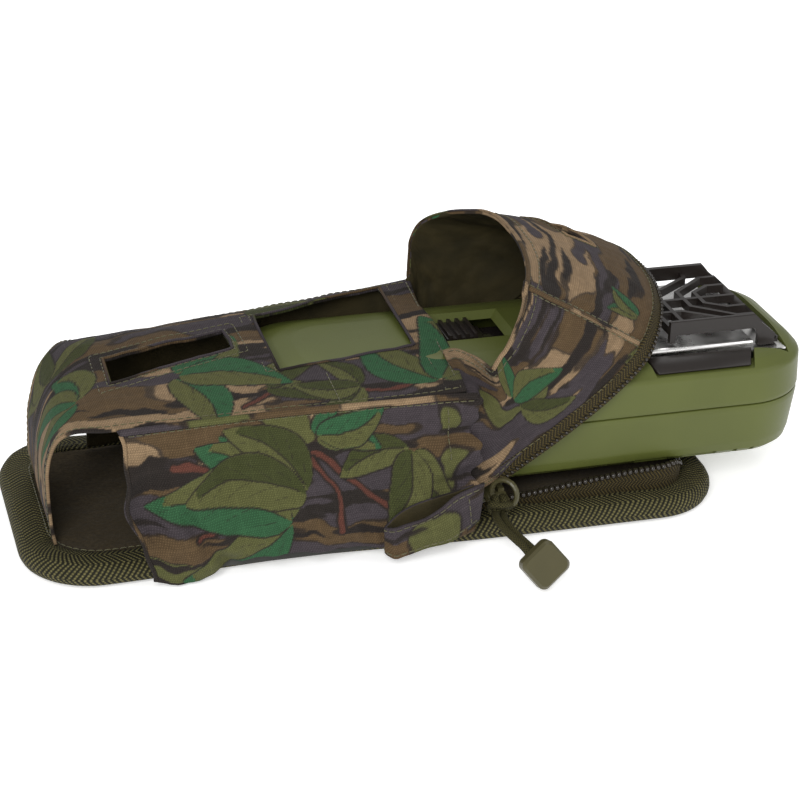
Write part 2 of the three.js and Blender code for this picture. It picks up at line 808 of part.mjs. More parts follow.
function makeWorks() {
  const { left, right, radius, z } = CARTRIDGE;
  const neck = right - 10;
  const can = join(
    rod([left, 0, z], [neck, 0, z], radius, 24),
    rod([neck - 0.1, 0, z], [neck + 5, 0, z], radius, 24, 5),
    rod([neck + 4.9, 0, z], [right, 0, z], 4, 16),
  );
  piece("fuel_cartridge", can, "canister");

  const valveRight = 59;
  const valve = cut(
    box([right - 3, valveRight], [-9, 9], [23, 41]),
    rod([right - 4, 0, z], [right + 1, 0, z], 4.5, 16),
    box([VALVE_PIN.left - 2.5, valveRight + 1], [-4, 4], [37.5, 42]),
  );
  piece("gas_valve", valve, "brass");
  piece("valve_pin", box([VALVE_PIN.left, VALVE_PIN.right], [-3, 3], [38, 45.2]), "steel");

  piece("gas_jet_tube", rod([valveRight + GAP, 0, 31], [90, 0, 31], 2, 12), "brass");
  const burner = join(
    rod([90 + GAP, 0, 31], [104, 0, 31], 3.2, 16, 5),
    rod([103.9, 0, 31], [128, 0, 31], 7, 20),
  );
  piece("burner", burner, "ceramic");
  const chamber = cut(
    box([104, 136], [-20, 20], [38.6, 47.6]),
    box([106, 134], [-18, 18], [38, 46]),
  );
  piece("heat_chamber", chamber, "steel");

  piece("piezo_body", box([BUTTON.x - 7, BUTTON.x + 7], [-5, 5], [33.4, 38.2]), "blackPlastic");
  piece("piezo_plunger", rod([BUTTON.x, 0, 41], [BUTTON.x, 0, 42.6], 3, 12), "steel");
  const lead = new THREE.CatmullRomCurve3(
    [
      [79, 6, 37.5],
      [86, 10, 38],
      [94, 12, 36.4],
      [102, 10, 35],
    ].map((p) => new THREE.Vector3(...p)),
  );
  piece("spark_lead", tube(lead.getPoints(6), 0.8), "rubber");
  piece("spark_electrode", rod([102.8, 9.9, 35], [110, 9.2, 34.8], 0.9, 8), "steel");
}

function makeScrewsAndFeet() {
  const places = [
    [-28, -24],
    [-28, 24],
    [122, -22],
    [122, 22],
  ];
  places.forEach(([x, y], i) => {
    const foot = rod([x, y, DEVICE.base - 1.6], [x, y, DEVICE.base - GAP], 4, 14);
    piece("foot_" + (i + 1), foot, "rubber");
    const post = rod([x, y, DEVICE.base + WALL + 1], [x, y, 30], 1.5, 10);
    piece("housing_screw_" + (i + 1), post, "steel");
  });
}

makeBackPanel();
makeFrontCover();
makeSidePocket();
makeHood();
makePanelZip();
makeSlider();
makePull();
makeHousing();
makeHotPlate();
makeGrille();
makeControls();
makeWorks();
makeScrewsAndFeet();

export default assembly;
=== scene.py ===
"""A hand-held insect repeller half out of its camouflage holster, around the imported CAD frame.

Shapes are worked out in millimetres in the frame's own axes, and become metres as a mesh is made.
"""

import json
import math

import bpy
import numpy as np
from mathutils import Matrix, Vector


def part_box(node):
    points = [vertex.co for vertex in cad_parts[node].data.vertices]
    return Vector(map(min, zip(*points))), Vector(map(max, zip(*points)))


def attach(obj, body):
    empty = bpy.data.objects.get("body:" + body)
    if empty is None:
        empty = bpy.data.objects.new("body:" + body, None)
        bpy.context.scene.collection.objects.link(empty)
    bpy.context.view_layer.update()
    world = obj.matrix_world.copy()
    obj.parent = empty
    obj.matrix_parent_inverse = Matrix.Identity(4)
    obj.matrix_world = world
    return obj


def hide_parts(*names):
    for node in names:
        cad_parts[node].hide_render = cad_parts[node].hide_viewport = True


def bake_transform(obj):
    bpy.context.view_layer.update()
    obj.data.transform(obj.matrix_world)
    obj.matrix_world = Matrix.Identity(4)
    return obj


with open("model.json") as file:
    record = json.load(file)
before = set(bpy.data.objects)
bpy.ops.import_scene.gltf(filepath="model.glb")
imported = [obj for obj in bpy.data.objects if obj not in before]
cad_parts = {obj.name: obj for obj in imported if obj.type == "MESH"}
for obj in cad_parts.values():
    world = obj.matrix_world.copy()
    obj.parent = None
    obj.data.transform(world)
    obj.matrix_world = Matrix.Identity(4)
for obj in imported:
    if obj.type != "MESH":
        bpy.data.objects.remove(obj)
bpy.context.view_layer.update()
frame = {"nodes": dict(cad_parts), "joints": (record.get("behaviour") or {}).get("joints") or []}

MM = 0.001
SHARP = 35  # degrees between faces past which shading breaks
BEVELLED = 32  # degrees between faces past which an edge is rounded


# ---- Curves and noise -----------------------------------------------------------------------


def spline(points, count=None, at=None, knots=None):
    """A Catmull-Rom curve through points, at evenly spaced places or at given ones from 0 to 1."""
    p = np.asarray(points, float)
    if knots is None:
        gaps = np.linalg.norm(np.diff(p, axis=0), axis=1)
        knots = np.concatenate([[0], np.cumsum(gaps)]) / gaps.sum()
    k = np.asarray(knots, float)
    t = np.linspace(0, 1, count) if at is None else np.clip(np.asarray(at, float), 0, 1)
    slopes = np.gradient(p, k, axis=0)
    i = np.clip(np.searchsorted(k, t, side="right") - 1, 0, len(k) - 2)
    h = (k[i + 1] - k[i])[..., None]
    s = ((t - k[i]) / (k[i + 1] - k[i]))[..., None]
    a = 2 * s**3 - 3 * s**2 + 1
    b = s**3 - 2 * s**2 + s
    return a * p[i] + b * h * slopes[i] + (1 - a) * p[i + 1] + (s**3 - s**2) * h * slopes[i + 1]


def profile(pairs, at):
    """A smooth value through (place, value) pairs."""
    k = np.array([a for a, _ in pairs], float)
    span = (np.asarray(at, float) - k[0]) / (k[-1] - k[0])
    return spline([[b] for _, b in pairs], at=span, knots=(k - k[0]) / (k[-1] - k[0]))[..., 0]


def distances(points):
    """How far along its line each point lies."""
    return np.concatenate([[0], np.cumsum(np.linalg.norm(np.diff(points, axis=0), axis=1))])


def unit(vectors):
    return vectors / np.linalg.norm(vectors, axis=-1, keepdims=True)


def interpolate(at, known, values):
    return np.stack([np.interp(at, known, values[:, i]) for i in range(3)], -1)


def arc(cx, cy, radius, start, steps):
    """Points of a quarter turn about (cx, cy), anticlockwise from start degrees."""
    turns = [math.radians(a) for a in np.linspace(start, start + 90, steps)]
    return [(cx + radius * math.cos(t), cy + radius * math.sin(t)) for t in turns]


def ease(a, b, x):
    """From 0 at a to 1 at b, smoothly."""
    t = np.clip((x - a) / (b - a), 0, 1)
    return t * t * (3 - 2 * t)


def lattice(ix, iy, seed):
    """A fixed value from 0 to 1 for each whole-number place."""
    n = (ix.astype(np.int64) * 374761393 + iy.astype(np.int64) * 668265263 + seed * 69069) & 0xFFFFFFFF
    n = ((n ^ (n >> 13)) * 1274126177) & 0xFFFFFFFF
    return ((n ^ (n >> 16)) & 0xFFFF) / 65535.0


def noise(x, y, seed=0):
    """Smooth value noise from 0 to 1."""
    x0, y0 = np.floor(x), np.floor(y)
    fx, fy = x - x0, y - y0
    fx, fy = fx * fx * (3 - 2 * fx), fy * fy * (3 - 2 * fy)
    low = lattice(x0, y0, seed) * (1 - fx) + lattice(x0 + 1, y0, seed) * fx
    high = lattice(x0, y0 + 1, seed) * (1 - fx) + lattice(x0 + 1, y0 + 1, seed) * fx
    return low * (1 - fy) + high * fy


def cloudy(x, y, seed=0, octaves=3):
    """Noise with finer noise over it, from 0 to 1."""
    total, size, share = 0.0, 1.0, 0.0
    for i in range(octaves):
        total = total + noise(x * 2**i, y * 2**i, seed + 17 * i) * size
        share += size
        size *= 0.5
    return total / share


# ---- Meshes ---------------------------------------------------------------------------------


def linked(name, data):
    """An object of the scene that holds data."""
    made = bpy.data.objects.new(name, data)
    bpy.context.scene.collection.objects.link(made)
    return made


def new_object(name, vertices, faces, materials, smooth=True, indices=None):
    """A mesh object from millimetre points."""
    mesh = bpy.data.meshes.new(name)
    mesh.from_pydata((np.asarray(vertices) * MM).tolist(), [], [list(map(int, f)) for f in faces])
    for m in materials:
        mesh.materials.append(m)
    if indices is not None:
        mesh.polygons.foreach_set("material_index", np.asarray(indices, np.int32))
    mesh.polygons.foreach_set("use_smooth", [smooth] * len(mesh.polygons))
    mesh.update()
    return linked(name, mesh)


def box_of(node):
    """A CAD node's lowest and highest corners, in millimetres."""
    return [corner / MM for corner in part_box(node)]


def put_attribute(obj, name, kind, field, values):
    layer = obj.data.attributes.new(name, kind, "POINT")
    layer.data.foreach_set(field, np.asarray(values, np.float32).ravel())


def inside(polygon, x, y):
    """Which points lie in a polygon."""
    hit = np.zeros(np.shape(x), bool)
    for (x0, y0), (x1, y1) in zip(polygon, polygon[1:] + polygon[:1]):
        crosses = (y0 > y) != (y1 > y)
        with np.errstate(divide="ignore", invalid="ignore"):
            hit ^= crosses & (x < (x1 - x0) * (y - y0) / (y1 - y0) + x0)
    return hit


def nearest_on(polygon, x, y):
    """The nearest place on a polygon's outline."""
    best, bx, by = np.full(x.shape, 1e9), x.copy(), y.copy()
    for (x0, y0), (x1, y1) in zip(polygon, polygon[1:] + polygon[:1]):
        dx, dy = x1 - x0, y1 - y0
        t = np.clip(((x - x0) * dx + (y - y0) * dy) / (dx * dx + dy * dy), 0, 1)
        px, py = x0 + t * dx, y0 + t * dy
        d = np.hypot(x - px, y - py)
        closer = d < best
        best, bx, by = np.where(closer, d, best), np.where(closer, px, bx), np.where(closer, py, by)
    return bx, by


def surface_normals(place, u, v, step=0.05):
    """Which way a sheet faces at places of its flat."""
    du = place(u + step, v) - place(u - step, v)
    dv = place(u, v + step) - place(u, v - step)
    n = np.cross(du, dv)
    return n / np.maximum(np.linalg.norm(n, axis=-1, keepdims=True), 1e-9)


def cloth(name, place, us, vs, materials, tint=None, holes=(), thick=1.2, flip=False, wide=1.0):
    """A closed sheet of cloth. place maps its flat (u, v) to space, and holes are cut out of the flat.
    u is in millimetres, and v in parts of wide. Its front has the first material and its back the
    second."""
    u, v = np.meshgrid(np.asarray(us, float), np.asarray(vs, float), indexing="ij")
    rows, columns = u.shape
    keep = np.ones((rows - 1, columns - 1), bool)
    cu = (u[1:, 1:] + u[:-1, 1:] + u[1:, :-1] + u[:-1, :-1]) / 4
    cv = (v[1:, 1:] + v[:-1, 1:] + v[1:, :-1] + v[:-1, :-1]) / 4
    for hole in holes:
        gone = inside(hole, cu, cv)
        keep &= ~gone
        touched = np.zeros((2, rows, columns), bool)
        for a in (0, 1):
            for b in (0, 1):
                part = (slice(a, rows - 1 + a), slice(b, columns - 1 + b))
                touched[0][part] |= gone
                touched[1][part] |= ~gone
        edge = touched[0] & touched[1]
        u[edge], v[edge] = nearest_on(hole, u[edge], v[edge])
    n = surface_normals(place, u, v) * (-1 if flip else 1)
    outer = place(u, v)
    inner = outer - n * thick
    count = rows * columns
    index = np.arange(count).reshape(rows, columns)
    quads = np.stack([index[:-1, :-1], index[1:, :-1], index[1:, 1:], index[:-1, 1:]], -1)[keep]
    if flip:
        quads = quads[:, ::-1]
    back = quads[:, ::-1] + count
    ends = np.concatenate([quads[:, [i, (i + 1) % 4]] for i in range(4)])
    known = {(a, b) for a, b in ends.tolist()}
    rim = sorted((a, b) for a, b in known if (b, a) not in known)
    walls = [(b, a, a + count, b + count) for a, b in rim]
    points = np.concatenate([outer.reshape(-1, 3), inner.reshape(-1, 3)])
    faces = quads.tolist() + back.tolist() + walls
    kinds = [0] * len(quads) + [1] * len(back) + [0] * len(walls)
    used = np.unique(np.concatenate([quads.ravel(), back.ravel()]))
    renumber = np.full(len(points), -1)
    renumber[used] = np.arange(len(used))
    faces = [[renumber[i] for i in f] for f in faces]
    made = new_object(name, points[used], faces, materials, indices=kinds)
    flat = np.stack([np.tile(u.ravel(), 2), np.tile(v.ravel(), 2), np.zeros(2 * u.size)], -1)[used]
    if tint is not None:
        colours = tint(flat[:, 0], flat[:, 1])
        put_attribute(made, "tint", "FLOAT_COLOR", "color", np.c_[colours, np.ones(len(colours))])
    put_attribute(made, "flat", "FLOAT_VECTOR", "vector", flat * [1, wide, 1])
    return made


def tube_faces(rings, sides, base=0, closed=False):
    """The faces round rings of points, with both ends capped unless the last ring meets the first."""
    faces = []
    for i in range(rings if closed else rings - 1):
        this, following = base + i * sides, base + (i + 1) % rings * sides
        for a in range(sides):
            b = (a + 1) % sides
            faces.append([this + a, this + b, following + b, following + a])
    if not closed:
        faces.append([base + a for a in range(sides)][::-1])
        faces.append([base + (rings - 1) * sides + a for a in range(sides)])
    return faces


def swept(name, route, section, material, closed=False, ups=None):
    """A section of (side, up) points, or one section for each place, swept along a route."""
    route = np.asarray(route, float)
    n = len(route)
    if closed:
        along = np.roll(route, -1, 0) - np.roll(route, 1, 0)
    else:
        along = np.gradient(route, axis=0)
    along = unit(along)
    up = np.tile([0.0, 0, 1], (n, 1)) if ups is None else np.asarray(ups, float)
    side = unit(np.cross(along, up))
    up = np.cross(side, along)
    section = np.asarray(section, float)
    if section.ndim == 2:
        section = np.tile(section, (n, 1, 1))
    k = section.shape[1]
    points = route[:, None] + section[..., :1] * side[:, None] + section[..., 1:] * up[:, None]
    made = new_object(name, points.reshape(-1, 3), tube_faces(n, k, closed=closed), [material])
    length = distances(route)
    girth = np.linalg.norm(np.roll(section, -1, 1) - section, axis=2)
    round_it = np.concatenate([np.zeros((n, 1)), np.cumsum(girth, 1)[:, :-1]], 1)
    flat = np.stack([np.repeat(length, k), round_it.ravel(), np.zeros(n * k)], -1)
    put_attribute(made, "flat", "FLOAT_VECTOR", "vector", flat)
    return made


def circle(radius, sides):
    turn = np.linspace(0, 2 * math.pi, sides, endpoint=False)
    return np.stack([np.cos(turn) * radius, np.sin(turn) * radius], -1)


def apply_modifiers(obj):
    """Makes what obj's modifiers give its own mesh."""
    graph = bpy.context.evaluated_depsgraph_get()
    graph.update()
    mesh = bpy.data.meshes.new_from_object(obj.evaluated_get(graph))
    obj.modifiers.clear()
    obj.data = mesh
    return obj


def cut(obj, cutters):
    """Takes the cutters out of obj."""
    for cutter in cutters:
        m = obj.modifiers.new("cut", "BOOLEAN")
        m.operation = "DIFFERENCE"
        m.solver = "EXACT"
        m.object = cutter
    apply_modifiers(obj)
    for cutter in cutters:
        bpy.data.objects.remove(cutter)
    return obj


def shade_by_angle(obj):
    """Smooth shading that breaks at sharp edges."""
    with bpy.context.temp_override(active_object=obj, selected_editable_objects=[obj], object=obj):
        bpy.context.view_layer.objects.active = obj
        obj.select_set(True)
        bpy.ops.object.shade_auto_smooth(angle=math.radians(SHARP))
        obj.select_set(False)
    return apply_modifiers(obj)


def soften(node, material, slot, width=0.3, segments=2):
    """A copy of a CAD node with its sharp edges rounded, which stands for that node."""
    source = frame["nodes"][node]
    made = linked(node + "_detail", source.data.copy())
    made.data.materials.clear()
    made.data.materials.append(material)
    weld = made.modifiers.new("weld", "WELD")
    weld.merge_threshold = 1e-6
    apply_modifiers(made)
    made.data.polygons.foreach_set("use_smooth", [False] * len(made.data.polygons))
    bevel = made.modifiers.new("edges", "BEVEL")
    bevel.width = width * MM
    bevel.segments = segments
    bevel.limit_method = "ANGLE"
    bevel.angle_limit = math.radians(BEVELLED)
    apply_modifiers(made)
    shade_by_angle(made)
    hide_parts(node)
    return made


# ---- Materials ------------------------------------------------------------------------------


def linear(r, g, b):
    """An sRGB colour of 0 to 255 as scene values."""
    return tuple(((c / 255 + 0.055) / 1.055) ** 2.4 if c > 10 else c / 3295 for c in (r, g, b))


class Nodes:
    """A short way to write a material's nodes."""

    def __init__(self, name, roughness=0.5, metallic=0.0, **sockets):
        self.material = bpy.data.materials.new(name)
        self.material.use_nodes = True
        self.tree = self.material.node_tree
        self.shader = self.tree.nodes["Principled BSDF"]
        self.shader.inputs["Roughness"].default_value = roughness
        self.shader.inputs["Metallic"].default_value = metallic
        for socket, value in sockets.items():
            self.shader.inputs[socket.replace("_", " ")].default_value = value

    def put(self, socket, value):
        if isinstance(value, bpy.types.NodeSocket):
            self.tree.links.new(value, socket)
        else:
            socket.default_value = value

    def node(self, kind, output=0, inputs=(), **settings):
        made = self.tree.nodes.new(kind)
        for key, value in settings.items():
            setattr(made, key, value)
        for key, value in dict(inputs).items():
            self.put(made.inputs[key], value)
        return made.outputs[output]

    def math(self, operation, a, b=0.0, c=0.0):
        return self.node("ShaderNodeMath", inputs={0: a, 1: b, 2: c}, operation=operation)

    def attribute(self, name, output="Vector"):
        return self.node("ShaderNodeAttribute", output, attribute_name=name)

    def place(self):
        """Object coordinates in millimetres."""
        point = self.node("ShaderNodeTexCoord", "Object")
        return self.node("ShaderNodeVectorMath", inputs={0: point, "Scale": 1000.0}, operation="SCALE")

    def split(self, vector):
        made = self.tree.nodes.new("ShaderNodeSeparateXYZ")
        self.tree.links.new(vector, made.inputs[0])
        return made.outputs

    def noise(self, vector, scale, detail=3.0, roughness=0.5):
        return self.node(
            "ShaderNodeTexNoise",
            "Fac",
            inputs={"Vector": vector, "Scale": scale, "Detail": detail, "Roughness": roughness},
        )

    def ramp(self, value, low, high, a=0.0, b=1.0):
        return self.node(
            "ShaderNodeMapRange",
            inputs={"Value": value, "From Min": low, "From Max": high, "To Min": a, "To Max": b},
        )

    def mix(self, share, a, b, blend="MIX"):
        made = self.tree.nodes.new("ShaderNodeMix")
        made.data_type = "RGBA"
        made.blend_type = blend
        self.put(made.inputs[0], share)
        for socket, value in ((made.inputs[6], a), (made.inputs[7], b)):
            self.put(socket, (*value, 1.0) if isinstance(value, tuple) and len(value) == 3 else value)
        return made.outputs[2]

    def bump(self, height, distance, strength=1.0, normal=None):
        inputs = {"Height": height, "Distance": distance * MM, "Strength": strength}
        if normal is not None:
            inputs["Normal"] = normal
        return self.node("ShaderNodeBump", inputs=inputs)

    def finish(self, colour=None, normal=None, roughness=None):
        for name, value in (("Base Color", colour), ("Normal", normal), ("Roughness", roughness)):
            if value is not None:
                self.put(self.shader.inputs[name], (*value, 1.0) if isinstance(value, tuple) else value)
        return self.material


def wave(nodes, value, pitch):
    """A smooth ridge from 0 to 1 every pitch."""
    turns = nodes.math("MULTIPLY", value, 2 * math.pi / pitch)
    return nodes.math("MULTIPLY_ADD", nodes.math("SINE", turns), 0.5, 0.5)


RIPSTOP = 6.3  # how far apart the pack cloth's thick threads lie


def pack_cloth():
    """Printed pack cloth: a slanting plain weave, a thicker thread every few millimetres."""
    n = Nodes("camouflage", roughness=0.86, Sheen_Weight=0.02, Specular_IOR_Level=0.14)
    x, y, _ = n.split(n.attribute("flat"))
    warp = wave(n, n.math("MULTIPLY_ADD", y, 0.5, x), 0.82)
    weft = wave(n, y, 0.76)
    weave = n.math("MULTIPLY", warp, weft)
    rib = 0.0
    for axis in (x, y):
        rib = n.math("MAXIMUM", n.ramp(wave(n, axis, RIPSTOP), 0.97, 1.0), rib)
    dust = n.noise(n.attribute("flat"), 0.35, 4.0)
    # Painted shade and highlight: the weave's relief also sets the colour, darker in the gaps between
    # threads and lighter on their tops and on the thick threads. Dust adds random tone.
    shade = n.math("MULTIPLY_ADD", weave, 0.62, 0.74)
    shade = n.math("MULTIPLY_ADD", rib, 0.12, shade)
    shade = n.math("MULTIPLY_ADD", dust, 0.24, n.math("SUBTRACT", shade, 0.12))
    grey = n.node("ShaderNodeCombineColor", inputs={0: shade, 1: shade, 2: shade})
    colour = n.mix(1.0, n.attribute("tint", "Color"), grey, "MULTIPLY")
    soft = n.bump(n.noise(n.attribute("flat"), 0.22, 3.0), 0.9, 0.5)
    fine = n.bump(weave, 0.16, 0.9, soft)
    normal = n.bump(rib, 0.07, 0.6, fine)
    return n.finish(colour, normal)


def brushed_lining():
    n = Nodes("lining", roughness=0.95, Sheen_Weight=0.06, Specular_IOR_Level=0.1)
    place = n.place()
    nap = n.noise(place, 0.9, 6.0, 0.65)
    drift = n.noise(place, 0.06, 3.0)
    colour = n.mix(n.ramp(nap, 0.35, 0.65), linear(42, 35, 22), linear(66, 56, 38))
    colour = n.mix(n.ramp(drift, 0.35, 0.7), colour, linear(50, 42, 27))
    return n.finish(colour, n.bump(nap, 0.35, 0.7, n.bump(drift, 1.6, 0.6)))


def plain_lining():
    """The olive coated back of the pack cloth."""
    n = Nodes("coated_back", roughness=0.75, Specular_IOR_Level=0.2)
    x, y, _ = n.split(n.attribute("flat"))
    weave = n.math("MULTIPLY", wave(n, x, 0.7), wave(n, y, 0.7))
    drift = n.noise(n.attribute("flat"), 0.08, 3.0)
    colour = n.mix(n.ramp(drift, 0.3, 0.7), linear(38, 34, 18), linear(56, 49, 28))
    return n.finish(colour, n.bump(weave, 0.08, 0.6, n.bump(drift, 1.5, 0.5)))


def chevron_weave(name, dark, light, pitch, band):
    """Herringbone tape: slanting rows of short threads that turn back at every band."""
    n = Nodes(name, roughness=0.75, Specular_IOR_Level=0.22)
    x, y, _ = n.split(n.attribute("flat"))
    fold = n.math("PINGPONG", y, band)
    slant = n.math("MULTIPLY_ADD", fold, 0.75, x)
    ridge = wave(n, slant, pitch)
    across = wave(n, n.math("MULTIPLY_ADD", x, -0.55, fold), pitch * 0.62)
    yarn = n.math("MULTIPLY", ridge, n.math("MULTIPLY_ADD", across, 0.62, 0.38))
    drift = n.noise(n.attribute("flat"), 0.25, 4.0)
    # Painted shade and highlight: the colour follows the threads' relief, darkest in the gaps between
    # threads and lightest on their tops.
    colour = n.mix(n.ramp(yarn, 0.16, 0.80), dark, light)
    colour = n.mix(n.ramp(drift, 0.3, 0.8, 0.0, 0.35), colour, dark)
    return n.finish(colour, n.bump(yarn, 0.42, 1.0))


def moulded(name, colour, roughness, grain=0.05, size=2.2, wear=0.12, **sockets):
    """Fine-textured moulded plastic with faint drift in its colour."""
    n = Nodes(name, roughness=roughness, **sockets)
    place = n.place()
    fine = n.noise(place, size, 3.0, 0.6)
    drift = n.noise(place, 0.05, 2.0)
    lighter = tuple(min(1.0, c * (1 + wear)) for c in colour)
    darker = tuple(c * (1 - wear) for c in colour)
    tone = n.mix(n.ramp(drift, 0.3, 0.7), darker, lighter)
    rough = n.ramp(fine, 0.3, 0.7, roughness - 0.04, roughness + 0.06)
    return n.finish(tone, n.bump(fine, grain, 0.5), rough)


def metal(name, colour, roughness):
    """Metal with fine drawn lines and dull patches."""
    n = Nodes(name, roughness=roughness, metallic=1.0)
    place = n.place()
    stretched = n.node("ShaderNodeVectorMath", inputs={0: place, 1: (0.15, 3.0, 3.0)},
                       operation="MULTIPLY")
    grain = n.noise(stretched, 1.6, 4.0)
    dull = n.noise(place, 0.12, 3.0)
    rough = n.ramp(dull, 0.3, 0.75, roughness, roughness + 0.14)
    tone = n.mix(n.ramp(dull, 0.3, 0.8), colour, tuple(c * 0.82 for c in colour))
    return n.finish(tone, n.bump(grain, 0.04, 0.3), rough)


def braid():
    n = Nodes("cord", roughness=0.85, Specular_IOR_Level=0.2)
    x, y, _ = n.split(n.attribute("flat"))
    one = wave(n, n.math("ADD", x, y), 0.9)
    two = wave(n, n.math("SUBTRACT", x, y), 0.9)
    plait = n.math("MAXIMUM", one, two)
    # Painted shade and highlight: the colour follows the strands' relief, dark between the strands and
    # light on their tops.
    colour = n.mix(n.ramp(plait, 0.35, 1.0), linear(20, 19, 8), linear(66, 62, 34))
    return n.finish(colour, n.bump(plait, 0.16, 0.9))


def thread():
    n = Nodes("thread", roughness=0.7, Sheen_Weight=0.2)
    tone = n.noise(n.place(), 0.4, 2.0)
    colour = n.mix(n.ramp(tone, 0.3, 0.7), linear(58, 56, 28), linear(84, 80, 46))
    return n.finish(colour, n.bump(n.noise(n.place(), 6.0, 2.0), 0.05, 0.6))


CAMO = pack_cloth()
LINING = brushed_lining()
BACK = plain_lining()
# Each tape's dark colour is painted shade between the threads, and its light colour a painted highlight
# on the thread tops.
WEBBING = chevron_weave("webbing", linear(20, 19, 8), linear(112, 106, 66), 1.75, 5.2)
ZIP_TAPE = chevron_weave("zip_tape", linear(30, 25, 10), linear(86, 74, 38), 1.2, 2.4)
ZIP_TEETH = moulded("zip_teeth", linear(36, 31, 24), 0.22, grain=0.02)
MOULDING = moulded("moulding", linear(70, 66, 42), 0.38, grain=0.03, Specular_IOR_Level=0.35)
CORD = braid()
THREAD = thread()
GREEN = moulded("device_green", linear(79, 85, 38), 0.42, grain=0.035, size=3.0, wear=0.05,
                Specular_IOR_Level=0.3)
BLACK = moulded("black_plastic", linear(32, 27, 24), 0.32, grain=0.02, wear=0.08,
                Specular_IOR_Level=0.4)
BLACK_GLOSS = moulded("black_gloss", linear(30, 26, 25), 0.16, grain=0.008, wear=0.05)
PLATE = metal("hot_plate", (0.9, 0.89, 0.87), 0.22)
STEEL = metal("steel", (0.55, 0.55, 0.56), 0.32)
BRASS = metal("brass", (0.62, 0.47, 0.2), 0.3)
CANISTER = metal("canister", (0.7, 0.71, 0.72), 0.28)
CERAMIC = moulded("ceramic", linear(226, 220, 208), 0.6, grain=0.05)
RUBBER = moulded("rubber", linear(38, 38, 38), 0.8, grain=0.05)
BOARD = moulded("board", linear(58, 58, 55), 0.9, grain=0.1)

NODE_FINISHES = {
    "back_board": BOARD,
    "valve_pin": STEEL,
    "piezo_plunger": STEEL,
    "heat_chamber": STEEL,
    "spark_electrode": STEEL,
    "gas_valve": BRASS,
    "gas_jet_tube": BRASS,
    "fuel_cartridge": CANISTER,
    "burner": CERAMIC,
    "piezo_body": BLACK,
    "spark_lead": RUBBER,
    "heat_shield": PLATE,
    **{f"housing_screw_{i}": STEEL for i in range(1, 5)},
    **{f"foot_{i}": RUBBER for i in range(1, 5)},
}
for node, finish in NODE_FINISHES.items():
    mesh = frame["nodes"][node].data
    mesh.materials.clear()
    mesh.materials.append(finish)


# ---- Camera ---------------------------------------------------------------------------------


def make_camera():
    """Low from the front left, with a long lens."""
    azimuth, elevation, roll = (math.radians(d) for d in (-15.62, 27.97, 0.96))
    distance = 0.7407
    level = math.cos(elevation)
    back = Vector((math.sin(azimuth) * level, -math.cos(azimuth) * level, math.sin(elevation)))
    right = Vector((math.cos(azimuth), math.sin(azimuth), 0))
    up = back.cross(right)
    right, up = (right * math.cos(roll) + up * math.sin(roll),
                 up * math.cos(roll) - right * math.sin(roll))
    data = bpy.data.cameras.new("camera")
    data.lens = 99
    data.sensor_width = 36
    data.shift_x, data.shift_y = 0.056, 0.109
    data.clip_start, data.clip_end = 0.05, 20
    camera = linked("camera", data)
    turn = Matrix((right, up, back)).transposed()
    camera.matrix_world = Matrix.Translation(back * distance) @ turn.to_4x4()
    bpy.context.scene.camera = camera


make_camera()


# ---- Zip pull: ring, doubled cord and toggle ------------------------------------------------

CORD_RADIUS = 1.25
CORD_SHIFT = 1.4
CORD_ROUTE = [
    (34.6, -47.8, 10.6), (33.9, -50.2, 11.4), (33.2, -53.2, 12.0), (33.0, -56.6, 12.1),
    (33.4, -60.2, 11.9), (34.2, -64.0, 11.6), (35.2, -67.8, 11.3), (36.2, -71.4, 10.9),
    (37.2, -74.8, 9.6), (38.2, -77.7, 7.2),
]
# A hitch that ties the doubled cord to its ring: a wrap over the ring, then a bar across the front.
HITCH_ROUTE = [
    (32.9, -45.6, 10.8), (31.9, -46.2, 13.2), (31.8, -48.0, 14.6), (33.4, -49.4, 14.6),
    (35.6, -49.5, 14.4), (37.6, -48.6, 14.0), (38.7, -46.8, 12.9), (38.3, -45.2, 11.2),
]
HITCH_LOOPS = [
    [(x, -47.8, 10.6), (x, -48.9, 12.2), (x + 0.1, -48.2, 14.4), (x + 0.3, -46.4, 15.4),
     (x + 0.5, -44.4, 14.6), (x + 0.5, -43.6, 12.4)]
    for x in (33.3, 36.0)
]


def make_cords():
    cords = []
    for name, shift in (("pull_cord_a", -CORD_SHIFT), ("pull_cord_b", CORD_SHIFT)):
        route = spline([(x + shift, y, z - shift * 0.35) for x, y, z in CORD_ROUTE], 46)
        made = swept(name + "_braid", route, circle(CORD_RADIUS, 14), CORD)
        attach(made, "pull")
        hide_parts(name)
        cords.append((made, route))
    return cords


cords = make_cords()
for i, knots in enumerate([HITCH_ROUTE, *HITCH_LOOPS]):
    wrap = swept(f"cord_hitch_{i + 1}", spline(knots, 26), circle(CORD_RADIUS, 14), CORD)
    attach(wrap, "pull")
toggle = soften("pull_toggle", MOULDING, "moulding", 0.6, 3)
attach(toggle, "pull")


# ---- Camouflage print -----------------------------------------------------------------------

TAN = linear(128, 107, 82)
BROWN = linear(80, 64, 44)
CHARCOAL = linear(60, 54, 57)
OUTLINE = linear(38, 33, 30)
OLIVE = linear(80, 81, 47)
OLIVE_DARK = linear(56, 60, 32)
LEAF = linear(45, 81, 53)
TWIG = linear(84, 50, 41)


def paint(colours, where, tone):
    share = np.clip(where, 0, 1)[..., None]
    return colours * (1 - share) + np.asarray(tone) * share


